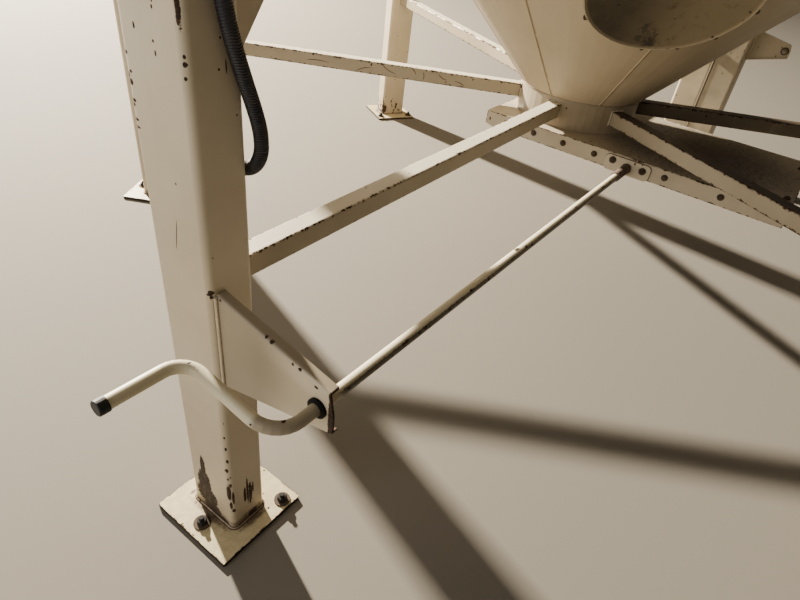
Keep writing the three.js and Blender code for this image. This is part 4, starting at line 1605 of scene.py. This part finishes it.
        # Painted shade: a dark bead fills the groove between the far posts, where shade falls.
        dark = CreamPaint(
            "post_joint_painted_shade", colour=(0.155, 0.125, 0.088), shade=(0.125, 0.10, 0.07), seed=32.0
        )
        sizes = {"Radius": 8.5 * MM, "Depth": 0.8 * MM, "Pitch": 9 * MM, "Sides": 12, "Unevenness": 0.2}
        lay_bead(bead, "post_joint", joints, dark.material(), sizes)
        toes = rings(4.6 * MM, FOOT_TOP + 0.2 * MM) + rings(0.1 * MM, FOOT_TOP + 5.0 * MM)
        dirt_line(bead, "foot_weld_dirt", toes, 1.9 * MM, closed=True)


@dataclass
class Struts:
    """Six square struts between legs and collar, and the web plates over them."""

    centre_height: float = 0.716
    size: float = 0.050
    inner: float = 0.2293
    outer: float = RING_INSIDE
    # Painted shade and light: the sides wear darker copies of the cream, the fifth strut darkest, and the
    # upper faces a light copy for sunlight, or on the last two a dark one for shade under the cone.
    colour: Colour = (0.40, 0.340, 0.245)
    shade: Colour = (0.33, 0.275, 0.190)
    painted_shade_colour: Colour = (0.18, 0.145, 0.100)
    painted_shade_faded: Colour = (0.14, 0.110, 0.073)
    painted_sunlit_top: Colour = (0.72, 0.66, 0.53)
    painted_shade_top: Colour = (0.075, 0.054, 0.034)
    web_middle: Point = (0.0, -1.48, 1.68)
    web_half: Point = (0.004, 0.27, 0.65)

    def build(self, bead: Rule) -> None:
        """Dresses struts and webs and welds their ends.

        Args:
            bead: the weld tree.
        """
        length = self.outer - self.inner
        middle = -(self.outer + self.inner) / 2
        half = (self.size / 2, length / 2, self.size / 2)
        for number, (letter, angle) in enumerate(LEG_ANGLES.items()):
            place = Frame(-angle, (0.0, middle, self.centre_height), half)
            # The last two struts get painted shade on their upper faces, the fifth also on its sides.
            shaded_under_cone, dark = letter in "ef", letter == "e"
            finish = CreamPaint(
                f"strut_paint_{letter}",
                place,
                colour=self.painted_shade_colour if dark else self.colour,
                shade=self.painted_shade_faded if dark else self.shade,
                chips=0.02,
                edge_chips=0.70,
                edge_band=6.5 * MM,
                ragged_edge=0.038 if letter == "a" else 0.050,
                marks=self._side_scratches() if letter == "b" else (),
                top=self.painted_shade_top if shaded_under_cone else self.painted_sunlit_top,
                seed=40.0 + number,
            )
            dress([f"strut_{letter}"], finish.material())
            web = Frame(-angle, self.web_middle, self.web_half)
            plate = CreamPaint(f"web_paint_{letter}", web, seed=50.0 + number)
            dress([f"web_{letter}"], plate.material())
        self._welds(bead)

    @staticmethod
    def _side_scratches() -> tuple[Mark, ...]:
        """Curly scratches in the side of the second strut."""
        scratches = (
            (-0.060, 0.000, 0.048, -90.0, 2.0),
            (0.125, -0.005, 0.038, -70.0, 5.0),
            (0.220, 0.005, 0.042, -121.0, -5.0),
            (0.329, 0.015, 0.020, -137.0, 12.0),
            (0.371, 0.000, 0.016, -173.0, 18.0),
            (0.443, 0.002, 0.022, -117.0, -12.0),
            (0.519, -0.008, 0.026, -112.6, 8.0),
        )
        return tuple(
            Mark(across, along, 1.5 * MM, length, lean, Face.RIGHT, bend)
            for across, along, length, lean, bend in scratches
        )

    def _welds(self, bead: Rule) -> None:
        """Painted beads round both ends of each strut."""

        def squares(grow: float, inwards: float) -> list[list[Vector]]:
            """Rings round both ends of each strut, this far outside its faces."""
            h = self.size / 2 + grow
            corners = [(-h, -h), (h, -h), (h, h), (-h, h)]
            ends = (-self.outer + inwards, -self.inner - 1 * MM - inwards)
            return [
                [turned_point(letter, x, end, self.centre_height + y) for x, y in corners]
                for letter in LEG_ANGLES
                for end in ends
            ]

        cream = CreamPaint("strut_weld_paint", chips=0.10, seed=31.0).material()
        sizes = {"Radius": 2.6 * MM, "Depth": 0.7 * MM, "Pitch": 5 * MM, "Unevenness": 0.5}
        lay_bead(bead, "strut_welds", squares(0.5 * MM, 0.0), cream, sizes, closed=True)
        dirt_line(bead, "strut_weld_dirt", squares(0.1 * MM, 3.4 * MM), 0.9 * MM, closed=True)


@dataclass
class Hopper:
    """The cone with its seams, manhole, collar and rim."""

    foot_radius: float = 0.229
    foot_height: float = 0.758
    collar_foot: float = 0.6523
    slope: float = 46.0
    top_radius: float = RING_INSIDE
    flange_radius: float = 1.8497
    seam_stop: float = 0.004
    seam_steps: int = 200
    ring_steps: int = 96
    manhole_turn: float = -58.6
    manhole_slant: float = 0.635
    manhole_stand: float = 0.045
    neck_radius: float = 0.219
    lid_radius: float = 0.2147
    clip_turns: tuple[float, ...] = (4.0, 64.0, 124.9, 183.6, 208.1, 233.7, 266.3, 304.0)

    def build(self, bolts: Rule, bead: Rule) -> None:
        """Dresses the sheets and adds seams, clips and flange bolts.

        Args:
            bolts: the fastener tree.
            bead: the weld tree.
        """
        # The cone's tan is painted light from the ground.
        cone = ConePaint("cone_paint_lit_and_weathered").material()
        dress([f"hopper_panel_{i + 1}" for i in range(PETALS)], cone)
        dress(["manhole_neck"], cone)
        centre = self.lid_frame().to_translation()
        lid = LidPaint("lid_paint_stained", tuple(centre), self.lid_radius).material()
        dress(["manhole_lid"], lid)
        rim = CreamPaint("rim_paint", chips=0.02, seed=60.0).material()
        dress([f"rim_{letter}" for letter in LEG_ANGLES], rim)
        # Painted shade: the collar wears a darker copy of the cream for the cone's shadow, with grime on it.
        collar = CreamPaint(
            "collar_paint",
            colour=(0.38, 0.32, 0.23),
            shade=(0.28, 0.225, 0.15),
            grime=0.5,
            chips=0.04,
            seed=61.0,
        )
        dress(["outlet_collar"], collar.material())
        self._seams(bead)
        self._collar_welds(bead)
        self._flange_bolts(bolts)
        self._clips(bolts)

    def lid_frame(self) -> Matrix:
        """The manhole's own frame, Z out of the lid and X up the slope."""
        turn, slope = math.radians(self.manhole_turn), math.radians(self.slope)
        around = Vector((math.cos(turn), math.sin(turn), 0.0))
        up = Vector((0.0, 0.0, 1.0))
        along = around * math.cos(slope) + up * math.sin(slope)
        out = around * math.sin(slope) - up * math.cos(slope)
        centre = around * self.foot_radius + up * self.foot_height
        centre = centre + along * self.manhole_slant + out * self.manhole_stand
        turned = Matrix((along, out.cross(along), out)).transposed()
        return Matrix.Translation(centre) @ turned.to_4x4()

    def _seams(self, bead: Rule) -> None:
        """Painted beads down the seams between petals, clear of the manhole."""
        place = self.lid_frame()
        lid_centre, lid_axis = place.to_translation(), place.to_3x3() @ Vector((0, 0, 1))
        rise = math.tan(math.radians(self.slope))
        span = self.top_radius - self.seam_stop - self.foot_radius
        lines: list[list[Point]] = []
        for petal in range(PETALS):
            a = math.radians(FIRST_SEAM + 360 / PETALS * petal)
            line: list[Point] = []
            for step in range(self.seam_steps + 1):
                r = self.foot_radius + span * step / self.seam_steps
                z = self.foot_height + (r - self.foot_radius) * rise
                point = Vector((r * math.cos(a), r * math.sin(a), z))
                away = point - lid_centre
                away -= lid_axis * away.dot(lid_axis)
                if away.length > self.neck_radius + 1 * MM:
                    line.append(tuple(point))
                else:
                    lines.append(line)
                    line = []
            lines.append(line)
        # Painted highlight: the beads are paler than the cone, as light caught by the lap edges.
        pale = ConePaint("seam_paint", colour=(0.56, 0.47, 0.34), shade=(0.44, 0.35, 0.23), seed=3.0)
        sizes = {"Radius": 2.2 * MM, "Depth": 0.4 * MM, "Pitch": 8 * MM, "Sides": 8, "Unevenness": 0.3}
        whole = [line for line in lines if len(line) > 1]
        lay_bead(bead, "cone_seams", whole, pale.material(), sizes)

    def _collar_welds(self, bead: Rule) -> None:
        """Rings of bead where the collar meets the cone and the gate."""
        r = self.foot_radius + 0.5 * MM
        turns = [math.tau * i / self.ring_steps for i in range(self.ring_steps)]
        rings = [
            [(r * math.cos(t), r * math.sin(t), z) for t in turns]
            for z in (self.foot_height, self.collar_foot)
        ]
        # Painted shade: the welds are as dark as the collar.
        tan = CreamPaint(
            "collar_weld_paint", colour=(0.33, 0.27, 0.19), shade=(0.24, 0.19, 0.13), seed=33.0
        )
        sizes = {"Radius": 3.2 * MM, "Depth": 0.8 * MM, "Pitch": 6 * MM, "Unevenness": 0.4}
        lay_bead(bead, "collar_welds", rings, tan.material(), sizes, closed=True)

    def _flange_bolts(self, bolts: Rule) -> None:
        """Bolts in the rim flange, each head on top."""
        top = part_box("rim_a")[1].z
        ring = (self.top_radius + self.flange_radius) / 2
        turns = [
            math.radians(-90 - 60 * part + 30 * ((2 * hole + 1) / 4 - 1))
            for part in range(6)
            for hole in range(4)
        ]
        places = [(ring * math.cos(a), ring * math.sin(a), top) for a in turns]
        ways = [(0.0, 0.0, 1.0)] * len(places)
        rust = RustySteel("flange_rust", polish=0.5, seed=2.0).material()
        kind = Fastener((0.0135, 0.009), (0.016, 0.002), (0.0075, 0.004), 0.0016)
        fasten(bolts, "flange_bolts", places, ways, rust, kind)

    def _clips(self, bolts: Rule) -> None:
        """Small dark clips outside the manhole's rim."""
        place = self.lid_frame()
        turn = place.to_3x3()
        places, ways = [], []
        for a in map(math.radians, self.clip_turns):
            radial = Vector((math.cos(a), math.sin(a), 0.0))
            spot = radial * (self.neck_radius - 0.5 * MM) + Vector((0, 0, -7 * MM))
            places.append(tuple(place @ spot))
            ways.append(tuple(turn @ radial))
        rust = RustySteel("clip_rust", colour=(0.040, 0.028, 0.020), bloom=0.3, seed=4.0).material()
        kind = Fastener((0.0068, 0.0075), (0.0085, 0.0015), (0.003, 0.001), 0.0010)
        fasten(bolts, "manhole_clips", places, ways, rust, kind)


@dataclass
class Gate:
    """The slide gate: housing, slide, rack and pinion, bearings and their bolts."""

    half_width: float = 0.278
    top: float = 0.652
    bolt_height: float = 0.6245
    bolt_places: tuple[float, ...] = (-0.154, -0.034, 0.087, 0.209, 0.465, 0.651)
    bearing_places: tuple[tuple[float, float], ...] = ((0.281, 0.6285), (0.390, 0.6225))
    bearing_thick: float = 6.3 * MM
    back_drop: float = 0.0134
    corner_bolt: tuple[float, float] = (0.825, 0.173)
    skirt_foot: float = 0.5945

    def build(self, bolts: Rule, bead: Rule) -> None:
        """Dresses the gate and adds its bolts.

        Args:
            bolts: the fastener tree.
            bead: the tree for lines of dirt.
        """
        skirt = CreamPaint(
            "housing_paint",
            box_frame("gate_housing"),
            # Painted shade: the skirts wear a darker copy of the cream for the cone's shadow.
            colour=(0.56, 0.49, 0.375),
            shade=(0.47, 0.40, 0.295),
            chips=0.02,
            edge_chips=0.75,
            edge_band=5 * MM,
            ragged_edge=0.030,
            # Painted shade: the dark patch on the top plate stands for the shadow of the cone and struts,
            # with the look of caked dirt.
            dirt=(Mark(0.20, 0.0, 0.44, 0.40, face=Face.TOP),),
            seed=70.0,
        )
        dress(["gate_housing"], skirt.material())
        for name in ("bearing_plate_front", "bearing_plate_back"):
            plate = CreamPaint(
                f"{name}_paint",
                box_frame(name),
                colour=(0.58, 0.51, 0.395),
                chips=0.03,
                edge_chips=0.4,
                seed=71.0,
            )
            dress([name], plate.material())
        dress(["gate_slide", "gate_rack"], RustySteel("slide_steel", polish=0.7, seed=6.0).material())
        dress(["pinion", "pinion_shaft"], RustySteel("shaft_steel", polish=0.4, seed=7.0).material())
        self._skirt_bolts(bolts)
        self._bearing_bolts(bolts, bead)

    def _skirt_bolts(self, bolts: Rule) -> None:
        """Rusty bolts along both skirts, and one in the top near each far corner."""
        sides = (-1.0, 1.0)
        along = [(side, x) for side in sides for x in self.bolt_places]
        places = [(x, side * self.half_width, self.bolt_height) for side, x in along]
        ways = [(0.0, side, 0.0) for side, _ in along]
        corner_x, corner_y = self.corner_bolt
        places += [(corner_x, side * corner_y, self.top) for side in sides]
        ways += [(0.0, 0.0, 1.0)] * len(sides)
        rust = RustySteel("skirt_rust", colour=(0.046, 0.032, 0.023), bloom=0.5, polish=0.12, seed=8.0)
        kind = Fastener((0.0090, 0.0060), (0.0115, 0.0015), (0.0045, 0.002), 0.0014)
        fasten(bolts, "skirt_bolts", places, ways, rust.material(), kind)

    def _bearing_bolts(self, bolts: Rule, bead: Rule) -> None:
        """Dark heads on the bearing plates, with dirt round them and round the plates."""
        places, ways, dirt = [], [], []
        circle = rounded_ring(12 * MM, 12 * MM, 12 * MM)
        for side in (-1.0, 1.0):
            face = side * (self.half_width + self.bearing_thick)
            for x, z in self.bearing_places:
                drop = -self.back_drop if side > 0 else 0.0
                places.append((x, face, z + drop))
                ways.append((0.0, side, 0.0))
                dirt.append([(x + a, face, z + drop + b) for a, b in circle])
            low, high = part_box("bearing_plate_front" if side < 0 else "bearing_plate_back")
            centre, half = (low + high) / 2, (high - low) / 2
            outline = rounded_ring(half.x + 0.5 * MM, half.z + 0.5 * MM, 16 * MM)
            wall = side * (self.half_width + 0.6 * MM)
            dirt.append([(centre.x + a, wall, max(centre.z + b, self.skirt_foot)) for a, b in outline])
        steel = RustySteel(
            "bearing_bolt_steel", colour=(0.040, 0.030, 0.021), bloom=0.3, polish=0.55, seed=72.0
        )
        kind = Fastener((0.0085, 0.0055), (0.0105, 0.0015), (0.0045, 0.003), 0.0014)
        fasten(bolts, "bearing_bolts", places, ways, steel.material(), kind)
        dirt_line(bead, "bearing_dirt", dirt, 1.5 * MM, closed=True)


@dataclass
class Crank:
    """The crank with its rubber cap, the bush and the brackets that carry it."""

    pinion: Point = (0.335, -0.278, 0.614)
    rise: float = -0.02416
    shaft_from: float = -1.82
    near_face: float = -1.835
    thick: float = 0.005
    near_root: float = 0.0753
    near_heights: tuple[float, ...] = (0.518, 0.590, 0.662, 0.734)
    far_root: float = 0.2256
    far_tip: float = 0.4243
    far_heights: tuple[float, ...] = (0.687, 0.738, 0.790, 0.844)
    far_middle: tuple[float, float] = (1.8203, 0.7655)
    far_half: tuple[float, float] = (0.0200, 0.0830)
    far_hole: tuple[float, float] = (0.3963, 0.769)
    far_washer_lift: float = 0.0077

    def build(self, bolts: Rule, bead: Rule) -> None:
        """Dresses the crank and its brackets and welds them to the legs.

        Args:
            bolts: the fastener tree.
            bead: the weld tree.
        """
        x, y, z = self.pinion
        rod = CrankPaint("crank_paint", x, z - y * self.rise, self.rise, self.shaft_from, seed=80.0)
        dress(["crank_rod"], rod.material())
        dress(["grip_cap"], BlackPlastic("cap_plastic", seed=1.0).material())
        bush = BlackPlastic("bush_plastic", colour=(0.0025, 0.0030, 0.0040), dust=0.02, shine=0.12)
        dress(["crank_bush"], bush.material())
        sheet = box_frame("bracket_a")
        near = CreamPaint(
            "bracket_paint_a",
            sheet,
            chips=0.008,
            edge_chips=0.30,
            marks=self._fold_chips(),
            raw_beyond=sheet.half[0] - 6 * MM,
            # Painted shade on the flange behind the front sheet.
            rear_painted_shade=(0.33, 0.275, 0.195),
            seed=81.0,
        )
        dress(["bracket_a"], near.material())
        middle = ((self.far_root + self.far_tip) / 2, *self.far_middle)
        half = ((self.far_tip - self.far_root) / 2, *self.far_half)
        far = CreamPaint(
            "bracket_paint_d",
            Frame(FAR_TURN, middle, half),
            # Painted shade: the far bracket wears a darker copy of the cream, as the far posts do.
            colour=(0.42, 0.375, 0.285),
            shade=(0.35, 0.305, 0.225),
            chips=0.03,
            edge_chips=0.5,
            seed=82.0,
        )
        dress(["bracket_d"], far.material())
        self._welds(bead)
        self._far_bolt(bolts)

    @staticmethod
    def _fold_chips() -> tuple[Mark, ...]:
        """Chips along the fold and at the root of the near bracket."""
        chips = (
            (-0.1430, 0.1070, 0.0040, 0.0045),
            (-0.1340, 0.1060, 0.0030, 0.0030),
            (-0.0161, 0.0943, 0.0028, 0.0028),
            (-0.0023, 0.0917, 0.0040, 0.0032),
            (0.0151, 0.1060, 0.0034, 0.0020),
            (0.0519, 0.0792, 0.0032, 0.0028),
            (0.0683, 0.0785, 0.0042, 0.0030),
            (0.1068, 0.0665, 0.0048, 0.0034),
            (0.1180, 0.0800, 0.0060, 0.0024),
        )
        return tuple(Mark(*chip) for chip in chips)

    def _welds(self, bead: Rule) -> None:
        """Fillet beads down the roots of both brackets, with dirt along their edges."""
        near_out, near_in = self.near_face, self.near_face + self.thick
        far_out, far_in = -near_out, -near_in
        fillet = 2.2 * MM

        def near(x: float, y: float) -> list[Point]:
            """A line down the near bracket's root."""
            return [(self.near_root + x, y, z) for z in self.near_heights]

        def far(x: float, y: float) -> list[Vector]:
            """A line down the far bracket's root."""
            return [far_point(self.far_root + x, y, z) for z in self.far_heights]

        lines = [
            near(fillet, near_out - fillet),
            near(fillet, near_in + fillet),
            far(fillet, far_out + fillet),
            far(fillet, far_in - fillet),
        ]
        cream = CreamPaint("bracket_weld_paint", chips=0.10, seed=34.0).material()
        sizes = {"Radius": 3.8 * MM, "Depth": 0.9 * MM, "Pitch": 6 * MM, "Unevenness": 0.4}
        lay_bead(bead, "bracket_welds", lines, cream, sizes)
        toes = [
            near(-0.3 * MM, near_out - 6.0 * MM),
            near(6.6 * MM, near_out - 0.3 * MM),
            far(6.6 * MM, far_out + 0.3 * MM),
            far(6.6 * MM, far_in - 0.3 * MM),
        ]
        dirt_line(bead, "bracket_weld_dirt", toes, 0.5 * MM, tone=(0.27, 0.21, 0.14))

    def _far_bolt(self, bolts: Rule) -> None:
        """The bolt in the far bracket's hole, a bright nut on a wide dark washer on both sides."""
        x, z = self.far_hole
        outer = -self.near_face + self.far_washer_lift
        faces = ((outer, 1.0), (outer - self.thick, -1.0))
        places = [tuple(far_point(x, y, z)) for y, _ in faces]
        ways = [tuple(far_point(0.0, way, 0.0)) for _, way in faces]
        rust = RustySteel("far_washer_rust", colour=(0.045, 0.031, 0.022), bloom=0.4, seed=83.0)
        kind = Fastener((0.012, 0.002), (0.0215, 0.0025))
        fasten(bolts, "far_washers", places, ways, rust.material(), kind)
        steel = RustySteel("far_nut_steel", colour=(0.30, 0.27, 0.23), bloom=0.3, polish=0.6, seed=84.0)
        kind = Fastener((0.0125, 0.012), (0.0155, 0.0042))
        fasten(bolts, "far_nuts", places, ways, steel.material(), kind)


@dataclass
class Conduit:
    """The corrugated conduit on the near leg, its two boxes and its clips."""

    x: float = 0.088
    radius: float = 0.0125
    pitch: float = 4.2 * MM
    loop_radius: float = 0.058
    loop_y: float = -1.729
    loop_z: float = 0.992
    low_box: float = 1.003
    top_box: float = 2.1197
    lid_corner: float = 4 * MM
    lid_depth: float = 8 * MM
    screw_inset: float = 7 * MM
    clip_heights: tuple[float, ...] = (1.46, 1.74, 2.02)

    def route(self) -> list[Point]:
        """The conduit's centre line, from the upper box to the lower one.

        Returns:
            Points in metres.
        """
        knots = [
            (-LEG_RING, self.top_box),
            (-LEG_RING, 1.600),
            (-LEG_RING, 1.330),
            (-1.787, 1.209),
            (-1.775, 1.155),
            (-1.757, 1.099),
            (-1.739, 1.046),
            (-1.731, 1.015),
            (self.loop_y, self.loop_z),
        ]
        line = [(self.x, y, z) for y, z in self._smooth(knots)]
        for step in range(1, 25):
            a = math.pi * step / 24
            line.append(
                (
                    self.x - self.loop_radius * (1 - math.cos(a)),
                    self.loop_y,
                    self.loop_z - self.loop_radius * math.sin(a),
                )
            )
        line.append((self.x - 2 * self.loop_radius, self.loop_y, self.low_box))
        return line

    @staticmethod
    def _smooth(knots: Sequence[tuple[float, float]], steps: int = 12) -> list[tuple[float, float]]:
        """A smooth line through knots in one plane."""
        found = []
        last = len(knots) - 1
        for i in range(last):
            p0, p1, p2, p3 = (Vector(knots[min(max(i + k, 0), last)]) for k in (-1, 0, 1, 2))
            span = (p2 - p1).length
            m1 = (p2 - p0) * span / max((p2 - p0).length, 1e-6)
            m2 = (p3 - p1) * span / max((p3 - p1).length, 1e-6)
            for step in range(steps):
                t = step / steps
                a = (2 * t**3 - 3 * t**2 + 1) * p1 + (t**3 - 2 * t**2 + t) * m1
                b = (-2 * t**3 + 3 * t**2) * p2 + (t**3 - t**2) * m2
                found.append(tuple(a + b))
        found.append(knots[-1])
        return found

    def build(self, bolts: Rule, hose: Rule) -> None:
        """Makes the hose and dresses its boxes.

        Args:
            bolts: the fastener tree.
            hose: the rippled tree.
        """
        plastic = HosePlastic("hose_plastic", self.pitch, dusty_below=1.26, seed=3.0).material()
        tube = hose.run(
            "conduit_hose",
            path_mesh("conduit_path", [self.route()]),
            plastic,
            {"Radius": self.radius, "Depth": 1.2 * MM, "Pitch": self.pitch, "Sides": 28},
        )
        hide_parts("conduit")
        own(tube, Body.BASE)
        black = BlackPlastic("box_plastic", seed=4.0).material()
        dress(["conduit_box_low", "conduit_box_top"], black)
        self._glands(bolts, black)
        self._lids(hose, bolts, black)
        self._saddles(hose, bolts)

    def _glands(self, bolts: Rule, black: bpy.types.Material) -> None:
        """Hexagonal nuts where the hose enters its two boxes."""
        inner = self.x - 2 * self.loop_radius
        places = [(self.x, -LEG_RING, self.top_box), (inner, self.loop_y, self.low_box)]
        ways = [(0.0, 0.0, -1.0)] * len(places)
        kind = Fastener((0.0185, 0.013), (0.0205, 0.003), (0.0152, 0.006), 0.002)
        fasten(bolts, "conduit_glands", places, ways, black, kind)

    def _lids(self, hose: Rule, bolts: Rule, black: bpy.types.Material) -> None:
        """The lid seam round each box and the screws in the corners of its face."""
        seams, places, ways = [], [], []
        for name, outward in (("conduit_box_low", 1), ("conduit_box_top", 0)):
            low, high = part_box(name)
            middle, half = (low + high) / 2, (high - low) / 2
            face, across = high[outward], 1 - outward
            ring = rounded_ring(half[across], half.z, self.lid_corner)
            seams.append([self._on_box(middle, outward, face - self.lid_depth, a, b) for a, b in ring])
            side, lift = half[across] - self.screw_inset, half.z - self.screw_inset
            corners = [(s * side, t * lift) for s in (-1, 1) for t in (-1, 1)]
            places += [self._on_box(middle, outward, face, a, b) for a, b in corners]
            ways += [(float(outward == 0), float(outward == 1), 0.0)] * len(corners)
        sizes = {"Radius": 1.1 * MM, "Depth": 0.0, "Pitch": 6 * MM, "Sides": 8}
        lay_bead(hose, "box_lid_seams", seams, black, sizes, closed=True)
        steel = RustySteel("screw_steel", colour=(0.22, 0.20, 0.17), bloom=0.3, polish=0.7, seed=5.0)
        kind = Fastener((0.0026, 0.0014), (0.0034, 0.0008), (0.0010, 0.0003), 0.0004)
        fasten(bolts, "box_screws", places, ways, steel.material(), kind)

    @staticmethod
    def _on_box(middle: Vector, outward: int, level: float, across: float, up: float) -> Point:
        """A point of a box whose lid faces along x or y.

        Args:
            middle: the middle of the box.
            outward: the axis that the lid faces along, 0 for x and 1 for y.
            level: the point's place on that axis.
            across: how far it is to one side of the middle.
            up: how far it is above the middle.

        Returns:
            The point.
        """
        if outward == 0:
            return (level, middle.y + across, middle.z + up)
        return (middle.x + across, level, middle.z + up)

    def _saddles(self, hose: Rule, bolts: Rule) -> None:
        """Saddle straps over the hose on the leg's side, each held by two screws."""
        foot, crown = LEG_HALF_WIDTH + 1.2 * MM, LEG_HALF_WIDTH + 2.2 * MM
        reach, wing, hole = self.radius + 1 * MM, self.radius + 14 * MM, self.radius + 9 * MM
        turns = [math.radians(-90 + 15 * step) for step in range(13)]
        arc = [(self.x + reach * math.cos(a), -LEG_RING + reach * math.sin(a)) for a in turns]
        before = [(foot, -LEG_RING - wing), (foot, -LEG_RING - reach)]
        after = [(foot, -LEG_RING + reach), (foot, -LEG_RING + wing)]
        outline = [*before, *arc, *after]
        lines, places = [], []
        for height in self.clip_heights:
            for lift in (-4 * MM, 0.0, 4 * MM):
                lines.append([(x, y, height + lift) for x, y in outline])
            places += [(crown, -LEG_RING + s * hole, height) for s in (-1, 1)]
        steel = RustySteel("saddle_steel", colour=(0.20, 0.17, 0.13), bloom=0.5, polish=0.5, seed=11.0)
        sizes = {"Radius": 2.4 * MM, "Depth": 0.0, "Pitch": 5 * MM, "Sides": 8}
        lay_bead(hose, "conduit_saddles", lines, steel.material(), sizes)
        rust = RustySteel("saddle_rust", seed=12.0).material()
        kind = Fastener((0.0045, 0.0030), (0.0055, 0.0010), (0.0018, 0.0005), 0.0008)
        fasten(bolts, "saddle_screws", places, [(1.0, 0.0, 0.0)] * len(places), rust, kind)


def smooth_shading() -> None:
    """Shades by angle wherever a piece or node is round."""
    limit = math.radians(32)
    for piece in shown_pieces():
        if piece.type == "MESH":
            piece.data.shade_smooth()
            piece.data.set_sharp_from_angle(angle=limit)


def main() -> None:
    """Builds the studio and every sub-assembly in order."""
    logging.basicConfig(level=logging.INFO, format="%(name)s: %(message)s")
    Studio().build()
    bolts, ripples = fastener_rule(), rippled_rule()
    Legs().build(bolts, ripples)
    Struts().build(ripples)
    Hopper().build(bolts, ripples)
    Gate().build(bolts, ripples)
    Crank().build(bolts, ripples)
    Conduit().build(bolts, ripples)
    smooth_shading()


if __name__ == "__main__":
    main()
